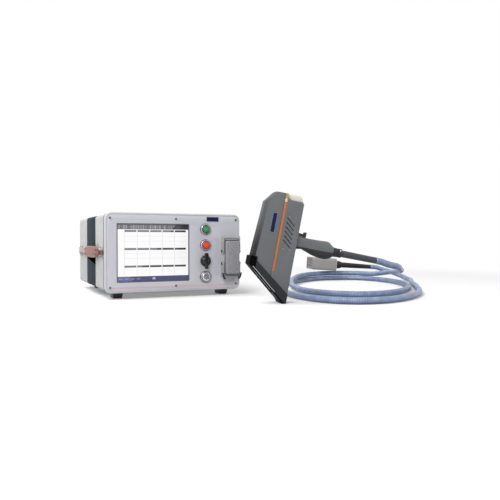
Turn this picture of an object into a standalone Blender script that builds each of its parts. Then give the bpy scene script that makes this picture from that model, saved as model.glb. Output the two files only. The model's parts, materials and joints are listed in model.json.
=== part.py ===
"""A bench control unit with a hand-held probe, its hose and its plug, at real size.

Metres, +Z up. The set stands on z = 0, and the unit's front faces -Y. Each sub-part is one named object.
"""
import math

import bmesh
import bpy
import numpy as np
from mathutils import Matrix, Vector

# Fits
GAP = 0.0003              # between pieces that touch
RUN = 0.0004              # around pieces that turn or slide

# Places in the set
UNIT_PLACE = (-0.065, -0.079, 0.0)       # middle of the unit's front edge, on the floor
PROBE_PLACE = (0.1186, -0.2987, 0.0)     # the probe's heel, at the middle of its thickness
PROBE_YAW = math.radians(-15)
PROBE_LEAN = math.radians(11)
PLUG_PLACE = (0.760, 0.216, 0.0467)      # where the hose goes into the plug's boot
PLUG_YAW = math.radians(162)
PLUG_RISE = math.radians(4)

# Control unit: case
UNIT_W = 0.350
UNIT_H = 0.195
UNIT_D = 0.417
FOOT_H = 0.015
CORNER_R = 0.016          # bezel corners
CASE_R = 0.008            # case corners
BEZEL_D = 0.021
BEZEL_STEP = 0.0036       # the bezel stands this far proud of the case
BEZEL_ROUND = 0.0025
RIM = 0.0045              # bezel edge that shows round the panel
SHELF = 0.0080            # bezel ledge behind the panel
PANEL_T = 0.004
PANEL_SET = 0.0008        # panel face behind the bezel's rim
CASE_WALL = 0.003
FRONT_FRAME_L = 0.126
REAR_FRAME_L = 0.132
REAR_PANEL_T = 0.003
REAR_PANEL_SET = 0.006
SCREW_IN_X = 0.012        # front screws, in from the unit's sides
SCREW_IN_Z = 0.014
SCREW_HEAD_D = 0.0066
SCREW_HEAD_H = 0.0018
FOOT_W = 0.028
FOOT_L = 0.044
FOOT_IN_X = 0.036         # front foot middle, in from the unit's sides
REAR_FOOT_IN_X = 0.050
FOOT_IN_Y = 0.0445        # front foot middle, in from the unit's front
REAR_FOOT_IN_Y = 0.054
FOOT_TAPER = 0.78

# Control unit: screen and buttons
SCREEN_LEFT = 0.028       # in from the unit's left side
SCREEN_TOP = 0.0263
SCREEN_BOTTOM = 0.025
SCREEN_TO_BUTTONS = 0.0435
GASKET_W = 0.0022
GLASS_T = 0.0026
DISPLAY_LIP = 0.006       # display module, past the screen opening
DISPLAY_T = 0.014
BUTTON_INSET = 0.0955     # button column, in from the unit's right side
BUTTON_TOP = 0.0395
BUTTON_BOTTOM = 0.034
BUSH_D = 0.022
BUSH_TAIL = 0.010         # bush behind the panel
STEM_D = 0.012
RING_D = 0.0272
RING_H = 0.0042
CAP_D = 0.0192
CAP_PROUD = 0.0026
CAP_CROWN = 0.0014        # height of a cap's rounded edge
CAP_PRESS = 0.002
STEEL_RING_D = 0.0285
STEEL_CAP_D = 0.0210
STEEL_PROUD = 0.0020
STEEL_CROWN = 0.0011
STEEL_PRESS = 0.0015
CAP_LAP = 0.0009          # cap skirt held in its ring at rest
SELECTOR_RING_H = 0.003
KNOB_D = 0.0240
KNOB_H = 0.0055
KNOB_DOME = ((0.0, 1.0), (0.55, 0.95), (0.82, 0.74), (0.96, 0.45), (1.0, 0.15), (1.0, 0.0))
KNOB_BAR_L = 0.041
KNOB_BAR_W = 0.0095
KNOB_BAR_H = 0.0058
KNOB_BAR_ROUND = 0.0015
CONTACT_W = 0.028
CONTACT_L = 0.026
CARRIER_W = 0.018         # spine that holds the contact blocks together
CARRIER_BACK = 0.018      # the spine's middle, behind the blocks' fronts

# Control unit: multipole connector on the panel
CONNECTOR_INSET = 0.0305  # connector middle, in from the unit's right side
CONNECTOR_DROP = 0.0140   # connector middle, below the unit's middle
FLANGE_W = 0.050
FLANGE_H = 0.100
FLANGE_T = 0.0045
COLLAR_W = 0.040
COLLAR_H = 0.092
COLLAR_END = 0.016        # collar's end, in front of the panel
COLLAR_WALL = 0.0025
INSERT_IN = 0.004         # insert face, behind the collar's end
INSERT_TAIL = 0.011       # insert behind the panel
SEAL_T = 0.003
SEAL_W = 0.0386
SEAL_H = 0.0888
COVER_W = 0.037
COVER_H = 0.085
COVER_T = 0.009
COVER_ROUND = 0.0035
COVER_EDGE = 0.0024
PEG_D = 0.006
PEG_OFF = 0.016           # lever pegs, above and below the connector's middle
PEG_OUT = 0.0128          # lever pegs, in front of the panel
LEVER_T = 0.003
LEVER_PLAY = 0.001        # between the collar and a lever's arm
LEVER_R = 0.034
LEVER_PIVOT_R = 0.0069
LEVER_END_R = 0.0058
LEVER_BAR_W = 0.008
LEVER_BAR_T = 0.005
LEVER_BAR_ROUND = 0.0016

# Control unit: strap on the left side
STRAP_Z = 0.098           # above the bezel's bottom edge
STRAP_FRONT = 0.055
STRAP_REAR = 0.034
GRIP_FRONT = 0.080
GRIP_REAR = 0.185
GRIP_END_H = 0.018        # grip's height at its ends
GRIP_TAPER_L = 0.030
GRIP_ROUND = 0.002
STRAP_OFF = 0.0045        # middle of the strap's ends, off the case
STRAP_BOW = 0.0072
GRIP_H = 0.030
GRIP_T = 0.0065
STRAP_END_H = 0.010
STRAP_END_T = 0.004
STRAP_CUTS = 7            # joints along each length of the strap
BRACKET_L = 0.022
BRACKET_H = 0.034
BRACKET_T = 0.002
BRACKET_LOOP_L = 0.014
BRACKET_LOOP_H = 0.020
BRACKET_LOOP_T = 0.0070

# Control unit: inside and rear
TRAY_T = 0.0015
TRAY_LIP = 0.012
TRAY_FRONT = 0.050
TRAY_REAR = 0.050
SUPPLY_SIZE = (0.088, 0.165, 0.046)
BOARD_SIZE = (0.125, 0.150, 0.0016)
BOARD_LIFT = 0.012
STANDOFF_D = 0.006
STANDOFF_IN = 0.008
HEATSINK_SIZE = (0.050, 0.050, 0.018)
SIGNAL_SIZE = (0.100, 0.075, 0.040)
INSIDE_SPACE = 0.012      # between the units on the tray
FAN_X = -0.085
FAN_SIZE = 0.060
FAN_T = 0.020
FAN_BORE_D = 0.057
FAN_HUB_D = 0.024
FAN_PIN_D = 0.004
FAN_STRUT_W = 0.004
FAN_STRUT_T = 0.003
BLADE_COUNT = 7
BLADE_T = 0.0014
BLADE_DEEP = 0.9          # of the rotor's depth
BLADE_PITCH = math.radians(38)
BLADE_TIP = 0.0012        # running gap at the blade tips
GUARD_D = 0.064
GUARD_T = 0.0015
GUARD_RINGS = 3
GUARD_WEB = 0.003
INLET_X = 0.095
INLET_FLANGE = (0.034, 0.062)
INLET_BODY = (0.029, 0.054)
INLET_FLANGE_T = 0.003
INLET_DEPTH = 0.026
SOCKET_SIZE = (0.0245, 0.017)
SOCKET_DEPTH = 0.018
SOCKET_OFF = 0.013
SOCKET_PIN = (0.002, 0.010, 0.006)
SOCKET_PIN_PITCH = 0.007
ROCKER_SIZE = (0.0125, 0.0195)
ROCKER_OFF = 0.0135
ROCKER_T = 0.010
ROCKER_TILT = math.radians(9)

# Probe: local X runs back along the handle, Y through the thickness, Z up the body
PROBE_T = 0.048
PROBE_WALL = 0.003
PROBE_FRONT = -0.086      # nose, at its upper corner
PROBE_REAR = 0.001
FRONT_TOP = 0.2440
REAR_DROP = 0.0131        # rear shell's top, below the front shell's
NOSE_TOP_L = 0.019        # top of the nose, in from the front
NOSE_DROP = 0.0246        # nose's upper corner, below the top
NOSE_FLARE = 0.008        # nose's foot, further forward than its upper corner
NOSE_CHAMFER = 0.007
SHELL_ROUND = 0.0022
REAR_ROUND = 0.003
LOW_REAR = 0.0213         # body's lower edge at the rear
SLOPE = math.radians(36.5)
BAND_X = -0.0413
BAND_W = 0.0054
BAND_PROUD = 0.0004
SKIRT_W = 0.056
SKIRT_DEPTH = 0.0186      # at the window
SKIRT_LIP = 0.0035        # collar's front, past the nose
SKIRT_LIP_H = 0.020
SKIRT_LIP_L = 0.0145      # collar's reach back along the nose
SKIRT_LIP_RISE = 0.001    # collar's top, above the nose's foot
SKIRT_TOE = (0.015, 0.0055)              # end of the sloping underside: ahead of the rear, and up
HEEL_L = 0.0100
WINDOW_L = 0.066
WINDOW_W = 0.036
WINDOW_T = 0.0025
WINDOW_IN = 0.006
MODULE_L = 0.058
MODULE_W = 0.0405
MODULE_H = 0.026
VENT_COUNT = 6
VENT_L = 0.0255
VENT_W = 0.0026
VENT_ROUND = 0.0012
VENT_PITCH = 0.0101
VENT_LOW = 0.1318         # lowest vent's middle
VENT_X = -0.0216
VENT_SLOPE = math.radians(40)
CAP_BLOCK = (0.0400, 0.030, 0.0142)
CAP_BLOCK_TAPER = 0.0075
HANDLE_AXIS = 0.1358
HANDLE_END = 0.0935
HANDLE_SPLIT = (0.1315, 0.1325)          # where the grip meets the shell, at the root and at the end
HANDLE_SECTIONS = (
    # along the handle, bottom, top, half width
    (0.0, 0.1225, 0.1620, 0.0172),
    (0.06, 0.1262, 0.1582, 0.0166),
    (0.20, 0.1282, 0.1556, 0.0160),
    (0.35, 0.1236, 0.1553, 0.0160),
    (0.49, 0.1190, 0.1556, 0.0164),
    (0.66, 0.1160, 0.1563, 0.0169),
    (0.80, 0.1150, 0.1573, 0.0171),
    (0.87, 0.1160, 0.1562, 0.0166),
    (0.94, 0.1187, 0.1508, 0.0150),
    (1.0, 0.1232, 0.1476, 0.0128),
)
HANDLE_SIDES = 20
HANDLE_SQUARE = 0.7       # less than 1 squares the section's corners
TRIGGER_L = 0.0215
TRIGGER_W = 0.012
TRIGGER_ROOT = 0.0030     # trigger pivot, behind the body
TRIGGER_PIVOT_Z = 0.1580
TRIGGER_TOP = 0.1675
TRIGGER_STEP = 0.0036
TRIGGER_DEEP = 0.0055
TRIGGER_HOOK = (0.66, 0.76, 0.94)        # finger hook along the trigger: foot, front and back of its top
TRIGGER_SWING = math.radians(9)
COLLAR_D = 0.0215
COLLAR_FLARE = 1.05       # collar's root, against its middle
HANDLE_COLLAR_L = 0.0117
NUT_D = 0.0232
NUT_L = 0.009
NUT_NOSE_L = 0.0037
NUT_NOSE_D = 0.0192
BOOT_D = 0.0160
BOOT_TIP_D = 0.0150
BOOT_L = 0.0852
BOOT_ROOT = 0.08          # straight root, of a boot's length

# Hose and plug
HOSE_D = 0.016
COIL_CENTRE = (0.518, 0.0165)
COIL_TURN = math.radians(-35.5)
COIL_HALF_W = 0.162
COIL_HALF_L = 0.272
COIL_GROW_W = 0.020       # each turn is wider by this
COIL_GROW_L = 0.076       # and longer, towards its front
COIL_FROM = 60            # degrees round the coil
COIL_TO = 720
LOOP_POINTS = 24
FLOOR_LIFT = 0.0003
LAYER = 0.0169
CLIMB = (150, 225)        # degrees over which the first turn comes down a layer
LEAD_IN = (
    (0.3703, -0.3613, 0.0850), (0.3996, -0.3530, 0.0802), (0.4220, -0.3363, 0.0760),
    (0.4583, -0.2972, 0.0691), (0.5151, -0.2355, 0.0628), (0.5756, -0.1646, 0.0564),
    (0.6377, -0.0833, 0.0491), (0.6912, 0.0021, 0.0417), (0.7241, 0.0860, 0.0340),
)
LEAD_OUT = (
    (0.6510, -0.1430, 0.0083), (0.7050, -0.0680, 0.0083), (0.7570, -0.0030, 0.0083),
    (0.8016, 0.0515, 0.0086), (0.8288, 0.1050, 0.0108), (0.8367, 0.1456, 0.0178),
    (0.8219, 0.1842, 0.0300), (0.7995, 0.2040, 0.0388),
)
STRAIGHT_OUT = 0.0075     # straight run out of the probe's boot
STRAIGHT_IN = 0.018       # straight run into the plug's boot
HOSE_APART = 5            # diameters along the hose that count as neighbours
PLUG_BOOT_L = 0.108
PLUG_BOOT_D = 0.019
GLAND_D = 0.027
GLAND_L = 0.022
HOOD_NECK_D = 0.030
HOOD_NECK_L = 0.006
HOOD_L = 0.088
HOOD_W = 0.094
HOOD_H = 0.043
HOOD_WALL = 0.004
HOOD_ROUND = 0.008
HOOD_EDGE = 0.0035
HOOD_POCKET = 0.030
POCKET_ROUND = 0.004
GLAND_SHAPE = ((0.92, 1.0), (1.0, 0.85), (1.0, 0.4), (0.8, 0.0))
GLAND_STEPS = 12
PLUG_FACE_IN = 0.002
PLUG_PINS = 8
PLUG_ROWS = 3
PLUG_PIN_D = 0.0052
PLUG_PIN_DEEP = 0.006

TURN_STEPS = 24           # segments round a turned piece
QUARTER = 6               # segments in a quarter of a rounded corner
LINK_STEPS = 8            # segments round a link's end
NEAR = 1e-6               # lengths below this count as nothing


# Scene and helpers

for old in list(bpy.data.objects):
    bpy.data.objects.remove(old, do_unlink=True)


def collection(name):
    """A new collection in the scene."""
    made = bpy.data.collections.new(name)
    bpy.context.scene.collection.children.link(made)
    return made


PARTS = collection("control_unit_and_probe")
CUTTERS = collection("cutters")


def finish(name, colour, roughness, metallic=0.0):
    """A Principled material."""
    made = bpy.data.materials.new(name)
    made.use_nodes = True
    shader = made.node_tree.nodes["Principled BSDF"]
    shader.inputs["Base Color"].default_value = (*colour, 1.0)
    shader.inputs["Roughness"].default_value = roughness
    shader.inputs["Metallic"].default_value = metallic
    return made


ALLOY = finish("light_alloy", (0.62, 0.61, 0.65), 0.45, 0.3)
PANEL_PAINT = finish("panel_paint", (0.66, 0.65, 0.70), 0.5)
SLEEVE_PAINT = finish("slate_paint", (0.05, 0.075, 0.095), 0.5)
STEEL = finish("steel", (0.55, 0.54, 0.56), 0.25, 1.0)
CHROME = finish("chrome", (0.75, 0.75, 0.77), 0.12, 1.0)
DARK_STEEL = finish("dark_steel", (0.06, 0.06, 0.07), 0.4, 0.8)
BLACK = finish("black_plastic", (0.01, 0.01, 0.011), 0.45)
RUBBER = finish("rubber", (0.012, 0.012, 0.013), 0.75)
GLASS = finish("screen_glass", (0.85, 0.86, 0.9), 0.12)
GREEN = finish("green_lens", (0.02, 0.20, 0.06), 0.3)
RED = finish("red_lens", (0.75, 0.06, 0.03), 0.3)
DIECAST = finish("diecast_grey", (0.22, 0.22, 0.23), 0.65)
LEATHER = finish("strap_leather", (0.42, 0.20, 0.16), 0.6)
LEATHER_DARK = finish("strap_end_leather", (0.20, 0.06, 0.05), 0.6)
BOARD = finish("circuit_board", (0.02, 0.12, 0.06), 0.5)
TIN = finish("tinned_steel", (0.5, 0.5, 0.5), 0.4, 0.9)
SHELL_GREY = finish("shell_grey", (0.16, 0.17, 0.18), 0.5)
ORANGE = finish("orange_trim", (0.75, 0.25, 0.06), 0.45)
CREAM = finish("cream_plastic", (0.75, 0.71, 0.60), 0.5)
CHARCOAL = finish("charcoal_grip", (0.035, 0.035, 0.04), 0.6)
HOSE_BLUE = finish("hose_blue", (0.14, 0.21, 0.40), 0.4)
HOOD_GREY = finish("hood_grey", (0.34, 0.33, 0.32), 0.6)


def empty(name, place, rotation=(0.0, 0.0, 0.0)):
    """A frame that pieces are parented to."""
    made = bpy.data.objects.new(name, None)
    made.location = place
    made.rotation_euler = rotation
    PARTS.objects.link(made)
    return made


UNIT = empty("unit_frame", UNIT_PLACE)
PROBE = empty("probe_frame", PROBE_PLACE, (0.0, PROBE_LEAN, PROBE_YAW))
PLUG = empty("plug_frame", PLUG_PLACE, (0.0, -PLUG_RISE, PLUG_YAW))


def piece(name, mesh, paint, parent, place=(0.0, 0.0, 0.0), rotation=(0.0, 0.0, 0.0)):
    """One sub-part."""
    made = bpy.data.objects.new(name, mesh)
    mesh.materials.append(paint)
    made.parent = parent
    made.location = place
    made.rotation_euler = rotation
    PARTS.objects.link(made)
    return made


def tool(name, mesh, parent, place=(0.0, 0.0, 0.0), rotation=(0.0, 0.0, 0.0)):
    """A body that cuts or joins a sub-part and isn't one itself."""
    made = bpy.data.objects.new(name, mesh)
    made.parent = parent
    made.location = place
    made.rotation_euler = rotation
    made.hide_render = True
    made.display_type = 'WIRE'
    CUTTERS.objects.link(made)
    return made


def combine(target, body, operation):
    """An exact Boolean on a sub-part."""
    step = target.modifiers.new(body.name, 'BOOLEAN')
    step.object = body
    step.operation = operation
    step.solver = 'EXACT'


def cut(target, name, mesh, place=(0.0, 0.0, 0.0), rotation=(0.0, 0.0, 0.0)):
    combine(target, tool(name, mesh, target.parent, place, rotation), 'DIFFERENCE')


def add(target, name, mesh, place=(0.0, 0.0, 0.0), rotation=(0.0, 0.0, 0.0)):
    combine(target, tool(name, mesh, target.parent, place, rotation), 'UNION')


def to_mesh(bm, name):
    """A mesh from a bmesh, with its faces pointing out."""
    bmesh.ops.recalc_face_normals(bm, faces=bm.faces)
    made = bpy.data.meshes.new(name)
    bm.to_mesh(made)
    bm.free()
    return made


def box_bm(size, centre, radius=0.0, axis=1):
    """A box whose four edges along one axis may be rounded."""
    bm = bmesh.new()
    bmesh.ops.create_cube(bm, size=1.0)
    bmesh.ops.scale(bm, vec=size, verts=bm.verts)
    if radius > 0:
        along = [e for e in bm.edges if abs((e.verts[0].co - e.verts[1].co)[axis]) > size[axis] / 2]
        bmesh.ops.bevel(bm, geom=along, offset=radius, segments=QUARTER, profile=0.5, affect='EDGES')
    bmesh.ops.translate(bm, vec=centre, verts=bm.verts)
    return bm


def soften(bm, axis, level, width, segments=2):
    """Rounds the edges that lie in one plane across an axis."""
    flat = [e for e in bm.edges if all(abs(v.co[axis] - level) < NEAR for v in e.verts)]
    bmesh.ops.bevel(bm, geom=flat, offset=width, segments=segments, profile=0.5, affect='EDGES')
    return bm


def box(name, size, centre, radius=0.0, axis=1):
    return to_mesh(box_bm(size, centre, radius, axis), name)


def span(name, low, high, radius=0.0, axis=1):
    """A box between two corners."""
    size = [h - l for l, h in zip(low, high)]
    centre = [(h + l) / 2 for l, h in zip(low, high)]
    return box(name, size, centre, radius, axis)


def boxes(name, size, centres):
    """Equal boxes as separate bodies of one mesh."""
    bm = bmesh.new()
    for centre in centres:
        made = bmesh.ops.create_cube(bm, size=1.0)
        bmesh.ops.scale(bm, vec=size, verts=made["verts"])
        bmesh.ops.translate(bm, vec=centre, verts=made["verts"])
    return to_mesh(bm, name)


def rods(name, diameter, length, centres, axis='Z', segments=16):
    """Equal cylinders as separate bodies of one mesh."""
    turn = {'X': Matrix.Rotation(math.pi / 2, 3, 'Y'), 'Y': Matrix.Rotation(math.pi / 2, 3, 'X'),
            'Z': Matrix.Identity(3)}[axis]
    bm = bmesh.new()
    for centre in centres:
        made = bmesh.ops.create_cone(bm, cap_ends=True, segments=segments, radius1=diameter / 2,
                                     radius2=diameter / 2, depth=length)
        bmesh.ops.rotate(bm, verts=made["verts"], matrix=turn)
        bmesh.ops.translate(bm, vec=centre, verts=made["verts"])
    return to_mesh(bm, name)


def circle(diameter, centre=(0.0, 0.0), segments=TURN_STEPS):
    turn = 2 * math.pi / segments
    return [(centre[0] + diameter / 2 * math.cos(turn * i), centre[1] + diameter / 2 * math.sin(turn * i))
            for i in range(segments)]


def rounded(width, height, radius, centre=(0.0, 0.0)):
    """A rounded rectangle's outline."""
    points = []
    for quarter, (sx, sy) in enumerate(((1, 1), (-1, 1), (-1, -1), (1, -1))):
        for step in range(QUARTER + 1):
            angle = math.pi / 2 * (quarter + step / QUARTER)
            points.append((centre[0] + sx * (width / 2 - radius) + radius * math.cos(angle),
                           centre[1] + sy * (height / 2 - radius) + radius * math.sin(angle)))
    return points


PLANES = {
    'front': Matrix(((1, 0, 0), (0, 0, -1), (0, 1, 0))),      # outline in X and Z, thick along Y
    'side': Matrix(((0, 0, 1), (1, 0, 0), (0, 1, 0))),        # outline in Y and Z, thick along X
}


def outline(name, loops, plane, level, thickness):
    """A flat outline with holes, made thick about a level, as a closed mesh."""
    curve = bpy.data.curves.new(name, 'CURVE')
    curve.dimensions = '2D'
    curve.fill_mode = 'BOTH'
    curve.extrude = thickness / 2
    for loop in loops:
        spline = curve.splines.new('POLY')
        spline.points.add(len(loop) - 1)
        for point, (x, y) in zip(spline.points, loop):
            point.co = (x, y, 0.0, 1.0)
        spline.use_cyclic_u = True
    drawn = bpy.data.objects.new(name, curve)
    bpy.context.scene.collection.objects.link(drawn)
    bpy.context.view_layer.update()
    mesh = bpy.data.meshes.new_from_object(drawn.evaluated_get(bpy.context.evaluated_depsgraph_get()))
    bpy.data.objects.remove(drawn, do_unlink=True)
    bm = bmesh.new()
    bm.from_mesh(mesh)
    bmesh.ops.remove_doubles(bm, verts=bm.verts, dist=NEAR)
    bmesh.ops.dissolve_limit(bm, angle_limit=math.radians(0.5), verts=bm.verts, edges=bm.edges)
    bmesh.ops.rotate(bm, verts=bm.verts, matrix=PLANES[plane])
    offset = (0.0, level, 0.0) if plane == 'front' else (level, 0.0, 0.0)
    bmesh.ops.translate(bm, vec=offset, verts=bm.verts)
    return to_mesh(bm, name)


def between(name, loops, plane, start, end):
    """A flat outline made thick between two levels."""
    return outline(name, loops, plane, (start + end) / 2, end - start)


def turned(name, profile, closed=False):
    """A profile of radius and height, for a Screw modifier: down the outer side, top to bottom."""
    mesh = bpy.data.meshes.new(name)
    links = [(i, i + 1) for i in range(len(profile) - 1)]
    if closed:
        links.append((len(profile) - 1, 0))
    mesh.from_pydata([(radius, 0.0, height) for radius, height in profile], links, [])
    return mesh


def spin(target, steps=TURN_STEPS):
    """Turns a profile about the object's own Z."""
    step = target.modifiers.new("Turned", 'SCREW')
    step.axis = 'Z'
    step.steps = steps
    step.render_steps = steps
    step.use_merge_vertices = True
    step.merge_threshold = 0.00001
    step.use_smooth_shade = True
    return target


FACING = (math.pi / 2, 0.0, 0.0)         # a turned piece's top towards -Y
BACK = (0.0, math.pi / 2, 0.0)           # a turned piece's top towards +X


# Control unit: levels and lines that pieces share

LEFT = -UNIT_W / 2
RIGHT = UNIT_W / 2
BOTTOM = FOOT_H
TOP = FOOT_H + UNIT_H
MID_Z = FOOT_H + UNIT_H / 2
PANEL_FACE = PANEL_SET
PANEL_BACK = PANEL_FACE + PANEL_T
CASE_W = UNIT_W - 2 * BEZEL_STEP
CASE_H = UNIT_H - 2 * BEZEL_STEP
INNER_W = CASE_W - 2 * CASE_WALL
INNER_H = CASE_H - 2 * CASE_WALL
INNER_R = CASE_R - CASE_WALL
CASE_SIDE = -CASE_W / 2
CASE_BOTTOM = MID_Z - CASE_H / 2
INNER_BOTTOM = MID_Z - INNER_H / 2
FRONT_FRAME_END = BEZEL_D + GAP + FRONT_FRAME_L
REAR_FRAME_START = UNIT_D - REAR_FRAME_L
REAR_PANEL_BACK = UNIT_D - REAR_PANEL_SET
REAR_PANEL_FRONT = REAR_PANEL_BACK - REAR_PANEL_T
BUTTON_X = RIGHT - BUTTON_INSET
BUTTON_STEP = (UNIT_H - BUTTON_TOP - BUTTON_BOTTOM) / 3
GREEN_Z, RED_Z, KNOB_Z, STEEL_Z = (TOP - BUTTON_TOP - i * BUTTON_STEP for i in range(4))
SCREEN_X = (LEFT + SCREEN_LEFT, BUTTON_X - SCREEN_TO_BUTTONS)
SCREEN_Z = (BOTTOM + SCREEN_BOTTOM, TOP - SCREEN_TOP)
SCREEN_W = SCREEN_X[1] - SCREEN_X[0]
SCREEN_H = SCREEN_Z[1] - SCREEN_Z[0]
SCREEN_MID = (sum(SCREEN_X) / 2, sum(SCREEN_Z) / 2)
CONNECTOR_X = RIGHT - CONNECTOR_INSET
CONNECTOR_Z = MID_Z - CONNECTOR_DROP
BORE_W = COLLAR_W - 2 * COLLAR_WALL
BORE_H = COLLAR_H - 2 * COLLAR_WALL
SCREW_X = (LEFT + SCREW_IN_X, 0.0, RIGHT - SCREW_IN_X)
SCREW_Z = (BOTTOM + SCREW_IN_Z, TOP - SCREW_IN_Z)


def make_case():
    """Bezel, panel, frames, sleeve and rear panel."""
    bm = box_bm((UNIT_W, BEZEL_D, UNIT_H), (0.0, BEZEL_D / 2, MID_Z), CORNER_R)
    bezel = piece("front_bezel", to_mesh(soften(bm, 1, 0.0, BEZEL_ROUND), "front_bezel"), ALLOY, UNIT)
    recess = (UNIT_W - 2 * RIM, UNIT_H - 2 * RIM)
    size = (recess[0], 2 * (PANEL_BACK + GAP), recess[1])
    cut(bezel, "panel_recess", box("panel_recess", size, (0.0, 0.0, MID_Z), CORNER_R - RIM))
    opening = (recess[0] - 2 * SHELF, 3 * BEZEL_D, recess[1] - 2 * SHELF)
    cut(bezel, "bezel_opening", box("bezel_opening", opening, (0.0, BEZEL_D / 2, MID_Z), GLASS_T))

    loops = [rounded(recess[0] - 2 * GAP, recess[1] - 2 * GAP, CORNER_R - RIM - GAP, (0.0, MID_Z)),
             rounded(SCREEN_W, SCREEN_H, GASKET_W, SCREEN_MID),
             rounded(BORE_W, BORE_H, COLLAR_WALL, (CONNECTOR_X, CONNECTOR_Z))]
    loops += [circle(BUSH_D + 2 * GAP, (BUTTON_X, z)) for z in (GREEN_Z, RED_Z, KNOB_Z, STEEL_Z)]
    plate = between("front_panel", loops, 'front', PANEL_FACE, PANEL_BACK)
    panel = piece("front_panel", plate, PANEL_PAINT, UNIT)
    heads = [(x, PANEL_FACE, z) for x in SCREW_X for z in SCREW_Z]
    add(panel, "panel_screw_heads", rods("panel_screw_heads", SCREW_HEAD_D, 2 * SCREW_HEAD_H, heads, 'Y', 12))

    tube = [rounded(CASE_W, CASE_H, CASE_R, (0.0, MID_Z)), rounded(INNER_W, INNER_H, INNER_R, (0.0, MID_Z))]
    for name, start, end, paint in (("front_frame", BEZEL_D + GAP, FRONT_FRAME_END, ALLOY),
                                    ("sleeve", FRONT_FRAME_END + GAP, REAR_FRAME_START - GAP, SLEEVE_PAINT),
                                    ("rear_frame", REAR_FRAME_START, UNIT_D, ALLOY)):
        piece(name, between(name, tube, 'front', start, end), paint, UNIT)

    loops = [rounded(INNER_W - 2 * GAP, INNER_H - 2 * GAP, INNER_R - GAP, (0.0, MID_Z)),
             circle(FAN_BORE_D, (FAN_X, MID_Z)),
             rounded(INLET_BODY[0] + 2 * GAP, INLET_BODY[1] + 2 * GAP, GASKET_W, (INLET_X, MID_Z))]
    plate = between("rear_panel", loops, 'front', REAR_PANEL_FRONT, REAR_PANEL_BACK)
    piece("rear_panel", plate, ALLOY, UNIT)


def make_feet():
    """Four moulded feet under the case."""
    height = CASE_BOTTOM - GAP
    for end, y, inset in (("front", FOOT_IN_Y, FOOT_IN_X), ("rear", UNIT_D - REAR_FOOT_IN_Y, REAR_FOOT_IN_X)):
        for side, x in (("left", LEFT + inset), ("right", RIGHT - inset)):
            bm = box_bm((FOOT_W, FOOT_L, height), (0.0, 0.0, height / 2), FOOT_W / 5, 2)
            low = [v for v in bm.verts if v.co.z < height / 2]
            bmesh.ops.scale(bm, vec=(FOOT_TAPER, FOOT_TAPER, 1.0), verts=low)
            name = f"foot_{end}_{side}"
            piece(name, to_mesh(bm, name), RUBBER, UNIT, (x, y, 0.0))


def make_screen():
    """Gasket, glass and display module."""
    fit = (SCREEN_W - 2 * GAP, SCREEN_H - 2 * GAP)
    view = (fit[0] - 2 * GASKET_W, fit[1] - 2 * GASKET_W)
    loops = [rounded(*fit, GASKET_W - GAP, SCREEN_MID), rounded(*view, GAP, SCREEN_MID)]
    gasket = between("screen_gasket", loops, 'front', PANEL_FACE + GAP, PANEL_BACK)
    piece("screen_gasket", gasket, BLACK, UNIT)
    loops = [rounded(view[0] - 2 * GAP, view[1] - 2 * GAP, GAP, SCREEN_MID)]
    glass = between("screen_glass", loops, 'front', PANEL_BACK - GLASS_T, PANEL_BACK)
    piece("screen_glass", glass, GLASS, UNIT)
    size = (SCREEN_W + 2 * DISPLAY_LIP, DISPLAY_T, SCREEN_H + 2 * DISPLAY_LIP)
    centre = (SCREEN_MID[0], PANEL_BACK + GAP + DISPLAY_T / 2, SCREEN_MID[1])
    piece("display_module", box("display_module", size, centre, DISPLAY_LIP / 2), TIN, UNIT)


def ring_profile(ring_d, height, bore, pocket=None):
    """A button's bezel: flange, bush through the panel, bore and, for a cap, its pocket."""
    edge = height / 4
    tail = -(PANEL_T + BUSH_TAIL)
    points = [(ring_d / 2 - edge, height), (ring_d / 2, height - edge), (ring_d / 2, GAP),
              (BUSH_D / 2, GAP), (BUSH_D / 2, tail), (bore / 2, tail)]
    if pocket:
        width, floor = pocket
        return points + [(bore / 2, floor), (width / 2, floor), (width / 2, height)]
    return points + [(bore / 2, height)]


def make_push_button(name, z, ring_d, cap_d, proud, press, ring_paint, cap_paint, crown):
    """A sprung push button: a ring on the panel, and a cap that slides in it."""
    skirt = RING_H - CAP_LAP
    pocket = (cap_d + 2 * RUN, skirt - press - GAP)
    ring = turned(f"{name}_ring", ring_profile(ring_d, RING_H, STEM_D + 2 * RUN, pocket), closed=True)
    ring_name = f"{name}_ring" if name == "steel_button" else f"{name}_bezel"
    spin(piece(ring_name, ring, ring_paint, UNIT, (BUTTON_X, PANEL_FACE, z), FACING))
    top = RING_H + proud
    stem = -(PANEL_T + BUSH_TAIL - press - 2 * GAP)
    r = cap_d / 2
    profile = [(0.0, top), (r - 2 * crown, top - crown / 4), (r - crown / 2, top - crown / 2), (r, top - crown),
               (r, skirt), (STEM_D / 2, skirt), (STEM_D / 2, stem), (0.0, stem)]
    spin(piece(name, turned(name, profile), cap_paint, UNIT, (BUTTON_X, PANEL_FACE, z), FACING))


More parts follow.
